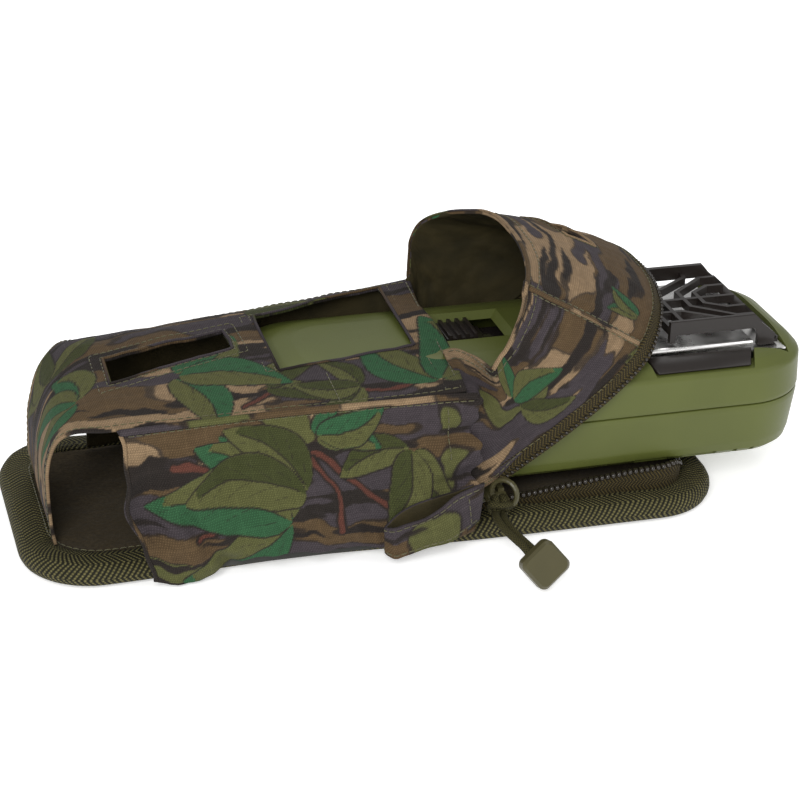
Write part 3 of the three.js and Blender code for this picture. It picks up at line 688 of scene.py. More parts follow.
def leaf_marks(u, v, leaf):
    """Masks of one leaf: its blade, the patch inside it, and the dark lines of both."""
    cx, cy, degrees, length, width = leaf[:5]
    turn = math.radians(degrees)
    dx, dy = u - cx, v - cy
    along = (dx * math.cos(turn) + dy * math.sin(turn)) / length
    a = np.clip(along, 0, 1)
    sway = math.copysign(0.13, math.sin(cx * 7 + cy * 3)) * length * np.sin(a * math.pi)
    across = -dx * math.sin(turn) + dy * math.cos(turn) + sway
    half = width * 0.5 * np.sin(math.pi * a**0.72) ** 0.8
    within = (along > 0) & (along < 1)
    edge = half - np.abs(across)
    blade = within * ease(-0.2, 0.2, edge)
    border = within * ease(-0.85, -0.45, edge) * (1 - blade)
    rib = blade * ease(0.42, 0.16, np.abs(across)) * (along > 0.05) * (along < 0.86)
    inner = blade * ease(-0.1, 0.1, across) * (along < 0.9)
    spacing = width * 0.42
    side = (along * length - np.abs(across) * 1.7) / spacing
    off = np.abs(side - np.round(side)) * spacing
    short = ease(0.75, 0.6, np.abs(across) / np.maximum(half, 0.1))
    side_veins = blade * ease(0.32, 0.12, off) * short * (along > 0.12)
    return blade, inner, np.maximum(rib, side_veins * 0.6), border


def sprig(cx, cy, degrees, size, kind, count=4, spread=150):
    """A fan of leaves that grow from one point of the flat, the middle ones longest."""
    leaves = []
    for i in range(count):
        share = i / (count - 1) - 0.5
        length = 1.12 * size * (1 - 0.5 * abs(share) ** 1.2) * (1 - 0.12 * (i % 2))
        turn = degrees + spread * share
        foot = 0.06 * size
        away = math.radians(turn)
        leaves.append((cx + foot * math.cos(away), cy + foot * math.sin(away),
                       turn, length, length * 0.50, kind))
    return sorted(leaves, key=lambda leaf: leaf[3])


def print_of(leaves, twigs=(), seed=0):
    """The colours of the printed cloth at flat places: bark, shadow, leaves and twigs."""

    def tint(u, v):
        wu = u + 9 * (cloudy(u / 16, v / 16, seed + 5) - 0.5)
        wv = v + 9 * (cloudy(u / 16, v / 16, seed + 9) - 0.5)
        colours = np.tile(np.asarray(TAN), (*u.shape, 1))
        grain = cloudy(wu / 3.2, wv / 1.1, seed + 3, 2)
        colours = colours * (0.80 + 0.38 * grain[..., None])
        layers = [
            (cloudy(wu / 40, wv / 10, seed + 21, 2), 0.50, BROWN),
            (cloudy(wu / 34 + 7, wv / 6.5, seed + 33, 2), 0.555, CHARCOAL),
            (cloudy(wu / 26 + 3, wv / 15 + 5, seed + 47, 2), 0.735, OLIVE),
            (cloudy(wu / 36 + 8, wv / 4 + 2, seed + 58, 2), 0.66, OUTLINE),
        ]
        for field, level, tone in layers:
            colours = paint(colours, ease(level - 0.035, level - 0.022, field) * 0.85, OUTLINE)
            shade = np.asarray(tone) * (0.86 + 0.28 * grain[..., None])
            share = ease(level - 0.006, level + 0.006, field)[..., None]
            colours = colours * (1 - share) + shade * share
        for line, width in twigs:
            d = np.full(u.shape, 1e9)
            line = spline(np.array(line, float), 24)
            for (x0, y0), (x1, y1) in zip(line, line[1:]):
                dx, dy = x1 - x0, y1 - y0
                t = np.clip(((wu - x0) * dx + (wv - y0) * dy) / (dx * dx + dy * dy), 0, 1)
                d = np.minimum(d, np.hypot(wu - x0 - t * dx, wv - y0 - t * dy))
            colours = paint(colours, ease(width + 1.1, width + 0.5, d), OUTLINE)
            colours = paint(colours, ease(width + 0.2, width - 0.2, d), TWIG)
        for leaf in leaves:
            outer, patch = {"green": (LEAF, OLIVE), "olive": (OLIVE, OLIVE_DARK)}[leaf[5]]
            blade, inner, lines, border = leaf_marks(u, v, leaf)
            masks = ((border, OUTLINE), (blade, outer), (inner, patch), (lines * 0.9, OUTLINE))
            for mask, tone in masks:
                colours = paint(colours, mask, tone)
        return colours

    return tint


# ---- Stitching ------------------------------------------------------------------------------

STITCH_PITCH, STITCH_LONG = 2.5, 2.15
STITCH_RADIUS, STITCH_LIFT = 0.19, 0.04
STITCH_SIDES = 5


def stitches(name, paths, body):
    """Short threads along paths of points, with the cloth's normals, lying on the cloth."""
    vertices, faces = [], []
    ring = circle(1.0, STITCH_SIDES)
    for points, normals in paths:
        points, normals = np.asarray(points, float), np.asarray(normals, float)
        gaps = distances(points)
        for start in np.arange(0.3, gaps[-1] - STITCH_LONG, STITCH_PITCH):
            places = start + np.array([0.0, 0.12, 0.5, 0.88, 1.0]) * STITCH_LONG
            sizes = np.array([0.35, 0.9, 1.0, 0.9, 0.35]) * STITCH_RADIUS
            sunk = np.array([-0.9, 0.0, 0.4, 0.0, -0.9]) * STITCH_RADIUS
            centre = interpolate(places, gaps, points)
            up = unit(interpolate(places, gaps, normals))
            side = np.cross(unit(centre[-1] - centre[0]), up)
            base = len(vertices)
            for c, out, across, size, low in zip(centre, up, side, sizes, sunk):
                for a, b in ring:
                    vertices.append(c + out * (STITCH_LIFT + low + b * size) + across * a * size)
            faces += tube_faces(len(centre), STITCH_SIDES, base)
    made = new_object(name, vertices, faces, [THREAD])
    if body:
        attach(made, body)
    return made


def on_cloth(place, line, flip=False, step=1.0):
    """Points and normals of a cloth's front along a line on its flat."""
    line = np.asarray(line, float)
    gaps = distances(line)
    at = np.linspace(0, gaps[-1], max(2, int(gaps[-1] / step)))
    u, v = np.interp(at, gaps, line[:, 0]), np.interp(at, gaps, line[:, 1])
    return place(u, v), surface_normals(place, u, v) * (-1 if flip else 1)


def widened(polygon, margin):
    """A polygon drawn outwards by a margin, or inwards by a negative one, and closed."""
    p = np.asarray(polygon, float)
    centre = p.mean(0)
    ahead = unit(np.roll(p, -1, 0) - p)
    normals = np.stack([ahead[:, 1], -ahead[:, 0]], -1)
    outward = np.sign(((p + np.roll(p, -1, 0)) / 2 - centre) * normals).sum(1)
    normals = normals * np.sign(outward)[:, None]
    corners = []
    for i in range(len(p)):
        n0, n1 = normals[i - 1], normals[i]
        corners.append(p[i] + (n0 + n1) * margin / (1 + n0 @ n1))
    return corners + corners[:1]


# ---- Back panel -----------------------------------------------------------------------------

panel_low, panel_high = box_of("edge_binding")
PANEL_TOP = panel_high.z
PANEL_HALF = (panel_high.x - panel_low.x) / 2
PANEL_WIDE = (panel_high.y - panel_low.y) / 2
PANEL_RADIUS = 24


def panel_edge(margin):
    """The panel's outline, anticlockwise. Its near edge bows where the holster was squeezed."""
    half_x, half_y = PANEL_HALF - margin, PANEL_WIDE - margin
    radius = PANEL_RADIUS - margin * 0.75
    points = []
    for cx, cy, start in (
        (half_x - radius, half_y - radius, 0),
        (-half_x + radius, half_y - radius, 90),
        (-half_x + radius, -half_y + radius, 180),
        (half_x - radius, -half_y + radius, 270),
    ):
        points += arc(cx, cy, radius, start, 12)
    points.append(points[0])
    points = np.array(points)
    gaps = distances(points)
    at = np.linspace(0, gaps[-1], int(gaps[-1] / 2.2), endpoint=False)
    x, y = np.interp(at, gaps, points[:, 0]), np.interp(at, gaps, points[:, 1])
    y = y + 3.0 * ease(0, -half_y, y) * np.exp(-(((x + 31) / 40) ** 2))
    return np.stack([x, y, np.zeros_like(x)], -1)


def make_panel():
    mid = PANEL_TOP / 2
    route = panel_edge(0)
    n = len(route)
    around = np.arange(n) / n * 2 * math.pi
    section = [
        (-13.5, -mid + 0.7), (-7.0, -mid + 0.35), (-2.2, -mid + 0.3), (-0.5, -mid + 1.2),
        (0.15, -mid + 2.6), (0.35, 0.0), (0.1, mid - 2.4), (-0.7, mid - 1.0), (-2.2, mid + 0.1),
        (-5.0, mid + 0.35), (-8.0, mid + 0.2), (-10.3, mid - 0.15), (-11.0, mid - 0.9),
        (-10.6, mid - 1.5), (-5.0, mid - 1.9), (-2.2, 0.0), (-5.0, -mid + 1.9), (-13.5, -mid + 1.6),
    ]
    sections = np.tile(np.asarray(section), (n, 1, 1))
    ripple = 0.22 * np.sin(around * 31) + 0.30 * np.sin(around * 13 + 1)
    sections[:, 7:13, 1] += ripple[:, None] * 0.6
    sections[:, 10:14, 0] -= (0.5 * np.sin(around * 17 + 0.5) + 0.3 * np.sin(around * 41))[:, None]
    route[:, 2] = mid
    binding = swept("panel_binding", route, sections, WEBBING, closed=True)
    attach(binding, "holster")
    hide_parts("edge_binding")

    x = np.linspace(-PANEL_HALF + 8, PANEL_HALF - 8, 150)
    y = np.linspace(-1, 1, 60)

    def half_width(u, margin):
        reach = np.maximum(np.abs(u) - (PANEL_HALF - PANEL_RADIUS), 0)
        round_off = PANEL_RADIUS - np.sqrt(np.maximum(PANEL_RADIUS**2 - reach**2, 0))
        return PANEL_WIDE - margin - round_off * 0.95

    def fleece(u, v):
        half = half_width(u, 9.5)
        across = v * half
        across = across + 2.8 * ease(0, -PANEL_WIDE, across) * np.exp(-(((u + 31) / 40) ** 2))
        rough = 0.55 * (cloudy(u / 9, across / 9, 3) - 0.5)
        z = PANEL_TOP - 0.75 + rough - 0.5 * ease(0.93, 1.0, np.abs(v))
        return np.stack([u, across, z + 0 * u], -1)

    lining = cloth("panel_lining", fleece, x, y, [LINING, LINING], thick=0.9)
    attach(lining, "holster")
    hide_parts("back_lining")
    edge = panel_edge(9.6)
    edge[:, 2] = PANEL_TOP + 0.45
    edge = np.concatenate([edge, edge[:1]])
    made = stitches("binding_stitches", [(edge, np.tile([0, 0, 1.0], (len(edge), 1)))], "holster")

    cover_top = box_of("back_cover")[1].z

    def under(u, v):
        half = half_width(u, 13.2)
        sag = 0.25 * (cloudy(u / 14, v * 3, 8) - 0.5)
        return np.stack([u, v * half, cover_top - 0.15 + sag], -1)

    back = cloth("back_cloth", under, np.linspace(-PANEL_HALF + 13.5, PANEL_HALF - 13.5, 190),
                 np.linspace(-1, 1, 70), [BACK, CAMO], thick=0.8, wide=34,
                 tint=lambda u, v: print_of(BACK_LEAVES, seed=40)(u, v * 34))
    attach(back, "holster")
    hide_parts("back_cover")
    loop = soften("belt_loop", WEBBING, "webbing")
    x, y = (np.array([v.co[i] / MM for v in loop.data.vertices]) for i in range(2))
    put_attribute(loop, "flat", "FLOAT_VECTOR", "vector", np.stack([x, y, 0 * x], -1))
    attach(loop, "holster")


BACK_LEAVES = [
    (-90, -10, 30, 34, 17, "green"),
    (-30, 12, -25, 36, 18, "green"),
    (20, -14, 60, 30, 15, "olive"),
    (62, 4, 200, 34, 17, "green"),
    (92, -12, 120, 24, 12, "olive"),
]
make_panel()


# ---- Front cover, its end strap, windows and walls ------------------------------------------

COVER_RIGHT, COVER_LEFT = 28.0, -86.0
COVER_LONG = COVER_RIGHT - COVER_LEFT
HALF_OUT = 40.2
COVER_NEAR, COVER_WIDE = 40.4, 80.6
FALL = spline([(-86, 0), (-94, -1.2), (-101.5, -5.8), (-106, -15), (-107.2, -28), (-106.6, -38),
               (-105.2, -46.6)], 60)
FALL_AT = distances(FALL)
FALL_LONG = FALL_AT[-1]
SMALL_WINDOW = [(-83.5, -13.5), (-41.5, 0.2), (-42, 12.8), (-83.5, 3.4)]
BIG_WINDOW = [(-30, -17.2), (16.6, -8.6), (17.4, 36.6), (-30, 22.5)]


def crest_height(x, y):
    """The cover's outside: flat near the seam, highest along a line that runs to the far right."""
    share = np.clip((x - COVER_LEFT) / (COVER_RIGHT - COVER_LEFT), 0, 1)
    crest = 10 + 28 * share
    near = 51.6 + 4.6 * np.sin(np.clip((y + HALF_OUT) / (crest + HALF_OUT), 0, 1) * math.pi / 2) ** 0.9
    fall_to = 44.6 + 11.8 * share
    beyond = np.clip((y - crest) / np.maximum(HALF_OUT - crest, 1), 0, 1)
    return near - (56.2 - fall_to) * beyond**1.7


def far_pull(u):
    """How far the cover's far edge draws in towards its left end, u from the right end."""
    return 5.5 * ease(COVER_LONG - 30, COVER_LONG, u)


def cover_place(u, v):
    """u is millimetres along from the right end, v from -1 near to 1 far."""
    strap = np.clip((u - COVER_LONG) / FALL_LONG, 0, 1)
    near_edge = profile([(0, -COVER_NEAR), (0.12, -39.5), (0.24, -36), (0.38, -32.5), (0.55, -30.6),
                        (1, -30)], strap)
    far_edge = profile([(0, 40.2), (0.10, 34), (0.22, 22.5), (0.4, 13.5), (0.65, 13), (0.85, 18),
                       (1, 22)], strap) - far_pull(u) * ease(0.4, 0, strap)
    y = near_edge + (v + 1) / 2 * (far_edge - near_edge)
    along = np.clip(u - COVER_LONG, 0, FALL_LONG)
    x = np.where(u < COVER_LONG, COVER_RIGHT - u, np.interp(along, FALL_AT, FALL[:, 0]))
    drop = np.where(u < COVER_LONG, 0, np.interp(along, FALL_AT, FALL[:, 1]))
    fade = 1 - ease(0, 0.5, strap)
    crown = crest_height(np.maximum(x, COVER_LEFT), y)
    z = 54.6 + (crown - 54.6) * fade + drop
    right_pull = ease(16, 0, u)
    x = x - right_pull * (2.4 * ease(10, -38, y) + 1.2 * np.sin(y / 9))
    flutter = 1.6 * (cloudy(u / 26, v * 1.6, 12) - 0.5) + 0.7 * (cloudy(u / 9, v * 4.2, 14) - 0.5)
    z = z + flutter * (1 - ease(0.3, 0.6, strap)) * ease(1.02, 0.8, np.abs(v) * 0.9)
    x = x - flutter * 0.8 * ease(0.3, 0.6, strap)
    z = z + 0.9 * right_pull * np.sin(y / 6.5 + 0.4)
    return np.stack([x, y, z], -1)


def to_flat(point):
    """A plan point of the cover's level stretch as a place on its flat."""
    x, y = point
    return COVER_RIGHT - x, 2 * (y + COVER_NEAR) / COVER_WIDE - 1


def around(window, margin):
    """A line round a window of the cover, as places on its flat."""
    scale = 2 / COVER_WIDE
    wide = [(a, b / scale) for a, b in map(to_flat, window)]
    return [(a, b * scale) for a, b in widened(wide, margin)]


COVER_LEAVES = [
    *sprig(66, -26, 178, 26, "olive", 2, 60),
    *sprig(92, -14, 196, 36, "green", 3, 120),
    *sprig(122, -20, 30, 30, "green", 3, 90),
    *sprig(132, 12, 100, 28, "olive", 3, 90),
    *sprig(34, -30, 10, 22, "olive", 3, 90),
    *sprig(8, -34, 96, 42, "green", 3, 70),
    *sprig(60, 30, 190, 26, "olive", 3, 80),
]


def cover_tint(u, v):
    return print_of(COVER_LEAVES, [([(74, -34), (54, -26), (34, -31), (10, -27)], 0.8)], 2)(u, v * 40)


def make_cover():
    holes = [[to_flat(p) for p in window] for window in (SMALL_WINDOW, BIG_WINDOW)]
    us = np.linspace(0, COVER_LONG + FALL_LONG, 270)
    vs = np.linspace(-1, 1, 124)
    cover = cloth("cover_cloth", cover_place, us, vs, [CAMO, BACK], tint=cover_tint, holes=holes,
                  thick=1.0, flip=True, wide=40.3)
    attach(cover, "holster")
    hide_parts("front_cover", "cover_hem")
    long = COVER_LONG + FALL_LONG
    lines = [around(window, margin) for window in (SMALL_WINDOW, BIG_WINDOW) for margin in (1.3, 4.4)]
    for u in (1.6, 8.0):
        lines.append([(u, -0.97), (u, 0.97)])
    for v in (-0.955, 0.955):
        lines.append([(2, v), (long - 2, v)])
    lines.append([(114, -0.95), (114, 0.9)])
    lines.append([(44, -0.95), (44, -0.46)])
    paths = [on_cloth(cover_place, line, flip=True) for line in lines]
    stitches("cover_stitches", paths, "holster")


make_cover()


def hem_strip(name, place, line, width, thick, body, tint, flip=False):
    """A folded edge of cloth that lies on a sheet along a line of its flat."""
    points, normals = on_cloth(place, line, flip, 0.8)
    half = width / 2
    section = [(-half, 0), (-half * 0.9, thick), (0, thick * 1.25), (half * 0.9, thick), (half, 0),
               (0, -0.3)]
    made = swept(name, points + normals * 0.05, section, CAMO, ups=normals)
    count = len(made.data.vertices)
    flat = np.zeros(count * 3, np.float32)
    made.data.attributes["flat"].data.foreach_get("vector", flat)
    flat = flat.reshape(-1, 3)
    colours = tint(flat[:, 0], flat[:, 1])
    put_attribute(made, "tint", "FLOAT_COLOR", "color", np.c_[colours, np.ones(count)])
    if body:
        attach(made, body)
    return made


def make_window_hems():
    plain = print_of([], seed=77)
    for name, window in (("small", SMALL_WINDOW), ("big", BIG_WINDOW)):
        hem_strip(name + "_window_edge", cover_place, around(window, 0.35), 1.0, 0.45, "holster",
                  plain, flip=True)


make_window_hems()


NEAR_WALL_SHORT = 16.0
WALL_FOOT = 8.3


def make_walls():
    """The two side walls behind the pocket and at the far side, lined on the inside."""
    length = COVER_LONG

    def far(u, v):
        x = COVER_RIGHT - 2 - u
        top = crest_height(x, np.full_like(x, HALF_OUT)) - 0.9
        z = WALL_FOOT + v * (top - WALL_FOOT)
        ripple = 0.8 * (cloudy(u / 18, v * 2, 21) - 0.5)
        return np.stack([x, 39.4 - far_pull(u + 2) + ripple, z], -1)

    def near(u, v):
        x = COVER_RIGHT - 3 - u
        z = WALL_FOOT + v * 42.2
        ripple = 0.6 * (cloudy(u / 18, v * 2, 23) - 0.5)
        return np.stack([x, -39.3 + ripple, z], -1)

    us, vs = np.linspace(0, length - 3, 150), np.linspace(0, 1, 50)
    near_us = us[us < length - NEAR_WALL_SHORT]
    tint = print_of([(20, 24, 40, 40, 18, "green"), (70, 14, 20, 36, 16, "green"),
                     (96, 36, 200, 30, 14, "olive"), (48, 40, -30, 30, 13, "olive")], seed=30)
    wall = cloth("far_wall_cloth", far, us, vs, [BACK, CAMO], thick=0.9, flip=True, wide=41,
                 tint=lambda u, v: tint(u, v * 45))
    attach(wall, "holster")
    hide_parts("far_wall")
    wall = cloth("near_wall_cloth", near, near_us, vs, [BACK, BACK], thick=0.7, flip=True, wide=42)
    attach(wall, "holster")
    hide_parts("near_wall")


make_walls()


# ---- Side pocket ----------------------------------------------------------------------------

POCKET_DEEP, POCKET_LONG = 52.0, 113.7


def pocket_place(u, v):
    """u is millimetres from the open left end, v millimetres down from the top seam."""
    down = np.clip(v / POCKET_DEEP, 0, 1)
    at_left = ease(16, 0, u)
    left = -86.2 + 7.5 * down**1.5 + at_left * (1.3 * np.sin(down * 9) + 0.5 * np.sin(down * 21))
    x = left + u * (27.5 - left) / POCKET_LONG
    share = np.clip(u / POCKET_LONG, 0, 1)
    y = -40.9 - profile([(0, 0.2), (0.12, 1.6), (0.3, 3.4), (0.5, 5.4), (0.7, 7.6), (0.88, 8.9),
                        (1.0, 8.2)], down)
    bottom = profile([(0, 2.6), (0.04, 1.4), (0.15, 1.6), (0.22, 4.6), (0.3, 6.8), (0.45, 7.0),
                     (0.7, 4.6), (1, 4.5)], share)
    z = 51.0 - (51.0 - bottom) * down
    z = z + 0.9 * np.sin(share * math.pi) * (1 - down)
    y = y - ease(34, 6, u) * 1.6 * np.sin(np.clip((down - 0.1) / 0.9, 0, 1) * math.pi) ** 2
    dent = np.exp(-(((u - 5.5) / 4.2) ** 2)) * ease(0.26, 0.44, down) * ease(0.80, 0.60, down)
    crease = np.exp(-(((u - 14 - 26 * (down - 0.5)) / 2.6) ** 2)) * ease(0.44, 0.66, down)
    y = y + 4.2 * dent + 2.6 * crease
    puff = np.exp(-(((u - 27) / 15) ** 2) - (((down - 0.74) / 0.22) ** 2))
    y = y - 3.0 * puff
    gather = ease(80, 108, u)
    tucks = np.sin(v / 2.4 + 1.2 * np.sin(u / 6)) * 1.5 + np.sin(v / 1.3 + u / 9 + 1) * 0.7
    x = x + ease(108, POCKET_LONG, u) * (1.5 * np.sin(v / 2.7) + 0.9 * np.sin(v / 1.2))
    y = y - gather * tucks * (0.4 + down * 0.6) + 2.2 * ease(100, POCKET_LONG, u) * down
    folds = cloudy(u / 15 + down * 1.2, v / 26, 51) - 0.5
    ripples = cloudy(u / 7 - down, v / 11, 53) - 0.5
    y = y - (6.0 * folds + 2.8 * ripples) * ease(0.02, 0.25, down) * (1 - 0.3 * gather)
    return np.stack([x, np.minimum(y, -40.2), z], -1)


POCKET_LEAVES = [
    *sprig(58, 22, 190, 38, "green", 2, 40),
    *sprig(52, 40, 196, 46, "green", 3, 62),
    *sprig(58, 30, 205, 44, "olive", 2, 40),
    *sprig(92, 16, 110, 28, "olive", 3, 100),
    *sprig(60, 10, -20, 24, "green", 3, 70),
]
POCKET_TWIGS = [
    ([(16, 14), (36, 18), (58, 15), (70, 26), (84, 40)], 1.0),
    ([(56, 16), (64, 30), (66, 44)], 0.7),
    ([(20, 36), (34, 30), (56, 26)], 0.6),
]


def make_pocket():
    tint = print_of(POCKET_LEAVES, POCKET_TWIGS, 6)
    pocket = cloth("side_pocket_cloth", pocket_place, np.linspace(0, POCKET_LONG, 230),
                   np.linspace(0, POCKET_DEEP, 110), [CAMO, BACK], tint=tint, thick=0.9, flip=True)
    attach(pocket, "holster")
    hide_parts("side_pocket")
    lines = [
        [(2, 2.2), (112, 2.2)],
        [(104, 4), (104, 22)],
    ]
    paths = [on_cloth(pocket_place, line, flip=True) for line in lines]
    stitches("pocket_stitches", paths, "holster")
    seam = hem_strip("pocket_top_seam", pocket_place, [(0.5, 0.7), (113, 0.7)], 2.2, 0.7,
                     "holster", print_of([], seed=81), flip=True)
    hem_strip("pocket_open_edge", pocket_place, [(0.3, 1.5), (0.3, POCKET_DEEP - 0.6)], 1.3, 0.55,
              "holster", print_of([], seed=83), flip=True)


make_pocket()


LOOP_LONG = 66.0
# The loop's top and bottom edges, from its sewn front end round the left end and back behind.
LOOP_TOP = np.array([
    (27.0, -53.6, 26.0), (17.0, -54.6, 22.6), (12.4, -55.0, 19.0), (7.8, -55.2, 16.4),
    (1.8, -55.2, 15.0), (-3.0, -54.8, 13.9), (-5.2, -53.2, 13.8), (-3.6, -51.6, 14.4),
    (-0.3, -51.0, 16.8), (4.3, -50.7, 19.0), (12.0, -50.6, 21.2), (18.0, -50.8, 22.8),
    (24.0, -51.6, 25.0),
])
LOOP_BOTTOM = np.array([
    (26.2, -53.4, 12.0), (20.6, -54.4, 8.8), (15.2, -55.0, 6.6), (8.6, -55.4, 6.0),
    (1.6, -55.4, 4.0), (-2.6, -54.9, 3.2), (-4.9, -53.2, 4.6), (-3.6, -51.8, 5.6),
    (0.2, -51.6, 6.6), (4.6, -51.4, 7.6), (12.0, -51.2, 9.4), (18.0, -51.4, 10.8), (24.0, -52.2, 12.4),
])
LOOP_KNOTS = np.array([0, 0.165, 0.26, 0.34, 0.435, 0.51, 0.55, 0.59, 0.65, 0.72, 0.83, 0.92, 1.0])


def make_pocket_loop():
    """A strip of the cloth folded back on itself, open like an eye, sewn into the gathered end."""

    def place(u, v):
        at = np.clip(u / LOOP_LONG, 0, 1)
        top, bottom = (spline(edge, at=at, knots=LOOP_KNOTS) for edge in (LOOP_TOP, LOOP_BOTTOM))
        share = ((v + 1) / 2)[..., None]
        curl = 0.35 * np.sin(u / 7 + v * 1.3) + 0.5 * (1 - v**2)
        out = np.where(at < 0.54, -1.0, 1.0) * curl * ease(0.04, 0.12, np.abs(at - 0.545))
        return bottom + (top - bottom) * share + np.stack([0 * u, out, 0 * u], -1)

    made = cloth("pocket_loop_cloth", place, np.linspace(0, LOOP_LONG, 110), np.linspace(-1, 1, 22),
                 [CAMO, BACK], thick=0.8, flip=True, wide=6,
                 tint=lambda u, v: print_of([], seed=16)(u * 1.2, v * 8))
    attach(made, "holster")
    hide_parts("pocket_loop")
    lines = [[(1.5, v), (LOOP_LONG - 2, v)] for v in (-0.78, 0.80)] + [[(6, -0.78), (6, 0.80)]]
    paths = [on_cloth(place, line, flip=True, step=0.5) for line in lines]
    stitches("loop_stitches", paths, "holster")


make_pocket_loop()


# ---- Hood -----------------------------------------------------------------------------------

hinge = next(j for j in frame["joints"] if j["name"] == "hood_hinge")
PIVOT = np.array(hinge["pos_m"]) / MM
HOOD_OPEN = math.radians(36)
HOOD_DEEP = 52.0

# Along the zip and up from it, in the hood's own shut frame, with y across: the mouth's edge.
MOUTH = np.array([
    (-6.6, -40.2, 5.2), (6.8, -40.2, 5.0), (28.9, -41.2, 5.0), (50.0, -39.6, 5.0), (59.4, -37.2, 5.0),
    (65.0, -34.0, 5.0), (69.8, -29.0, 5.0), (74.4, -22.6, 5.0), (78.4, -14.6, 5.0), (80.8, -6.0, 5.0),
    (82.2, 3.0, 5.0), (82.4, 13.3, 5.0), (81.2, 24.0, 5.0), (78.4, 33.0, 5.0), (71.0, 39.2, 5.0),
    (58.0, 40.6, 5.0), (40.0, 40.6, 5.0), (20.0, 40.4, 5.0), (6.0, 40.2, 5.0), (-6.0, 40.0, 5.2),
])
RIM = np.array([
    (17.4, -40.6, 38.6), (20.6, -41.0, 36.8), (26.0, -40.8, 38.4), (33.0, -40.0, 41.2),
    (40.0, -38.6, 45.4), (46.0, -36.8, 50.6), (49.2, -29.6, 50.4), (51.6, -21.6, 50.2),
    (53.4, -11.0, 50.0), (54.0, -1.0, 50.0), (53.8, 9.0, 50.0), (52.4, 18.0, 50.2), (48.6, 25.6, 50.6),
    (43.6, 32.6, 51.2), (38.6, 37.2, 51.4), (33.0, 39.8, 51.2), (27.6, 40.6, 48.6), (23.4, 40.8, 43.6),
    (19.6, 40.8, 39.0), (17.3, 40.6, 36.6),
])
# Where along the edge each pair of points lies, so that the two side seams meet the corners.
HOOD_KNOTS = np.array([0, 0.06, 0.16, 0.25, 0.29, 0.325, 0.36, 0.40, 0.445, 0.485, 0.525, 0.565,
                       0.61, 0.65, 0.69, 0.74, 0.80, 0.88, 0.94, 1.0])
HOOD_ROUND = 258.0
NEAR_SEAM, FAR_SEAM = 0.325, 0.665


def hood_world(points):
    """From the hood's shut frame to its place half open."""
    a, y, h = points[..., 0], points[..., 1], points[..., 2]
    c, s = math.cos(HOOD_OPEN), math.sin(HOOD_OPEN)
    return np.stack([PIVOT[0] + a * c - h * s, y, PIVOT[2] + a * s + h * c], -1)


def hood_local(u, v):
    t = np.clip(u / HOOD_ROUND, 0, 1)
    w = v / HOOD_DEEP
    low = spline(MOUTH, at=t, knots=HOOD_KNOTS)
    high = spline(RIM, at=t, knots=HOOD_KNOTS)
    ahead, behind = (
        spline(MOUTH, at=np.clip(t + step, 0, 1), knots=HOOD_KNOTS) for step in (0.004, -0.004)
    )
    way = ahead - behind
    out = np.stack([way[..., 1], -way[..., 0], 0 * t], -1)
    out /= np.maximum(np.linalg.norm(out, axis=-1, keepdims=True), 1e-9)
    crown = np.sin(np.clip(w, 0, 1) ** 0.8 * math.pi)
    band = ease(NEAR_SEAM - 0.05, 0.46, t) * ease(FAR_SEAM + 0.07, 0.56, t)
    bulge = crown * (1.2 + 1.6 * band)
    pinch = 1.1 * np.exp(-(((t - NEAR_SEAM) / 0.012) ** 2))
    pinch = pinch + 1.0 * np.exp(-(((t - FAR_SEAM) / 0.012) ** 2))
    sides = np.maximum(ease(0.24, 0.02, t), ease(0.76, 0.98, t))
    tucks = 1.5 * np.sin(v / 5.0 + 2.2 * np.sin(u / 13.0)) * ease(0.15, 0.02, t)
    tucks = tucks + 1.0 * np.sin(v / 6.0 + u / 16.0) * ease(0.85, 0.98, t)
    ripple = 2.2 * (cloudy(u / 19, v / 19, 91) - 0.5) + 0.8 * (cloudy(u / 7, v / 7, 93) - 0.5)
    push = bulge - pinch * crown**0.3 + tucks + ripple * np.sin(np.clip(w, 0.04, 0.97) * math.pi) ** 0.5
    push = push - 1.2 * sides * crown
    return low + (high - low) * w[..., None] + out * push[..., None]


# The near wall's left edge, from the zip up, in world millimetres: it folds in over the repeller.
TUCK = np.array([(26.6, -40.4, 16.3), (25.6, -41.2, 28), (24.6, -40.9, 40), (24.0, -39.2, 47.6),
                 (24.0, -36.0, 50.9), (24.0, -29.5, 52.4), (24.4, -22.5, 53.9), (24.8, -15.8, 55.2)])


def hood_place(u, v):
    world = hood_world(hood_local(u, v))
    folded = spline(TUCK, at=np.clip(v / HOOD_DEEP, 0, 1))
    folded[..., 0] += 0.55 * u + 0.8 * np.sin(v / 4.6 + u / 5) * ease(0, 12, v)
    folded[..., 1] -= 0.7 * np.sin(v / 3.4 + u / 4) * ease(0, 12, v)
    share = ease(22, 5, u)[..., None]
    return world * (1 - share) + folded * share


HOOD_LEAVES = [
    *sprig(30, 24, -10, 30, "olive", 2, 50),
    *sprig(28, 30, 20, 36, "green", 2, 60),
    *sprig(96, 6, 80, 18, "green", 2, 50),
    *sprig(186, 30, 60, 30, "green", 3, 120),
    *sprig(226, 20, 120, 30, "olive", 3, 120),
]
HOOD_SLOT = [(134.5, 21), (158, 25.5), (158, 35.5), (134.5, 31)]


def bend_with_hood(piece):
    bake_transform(piece)


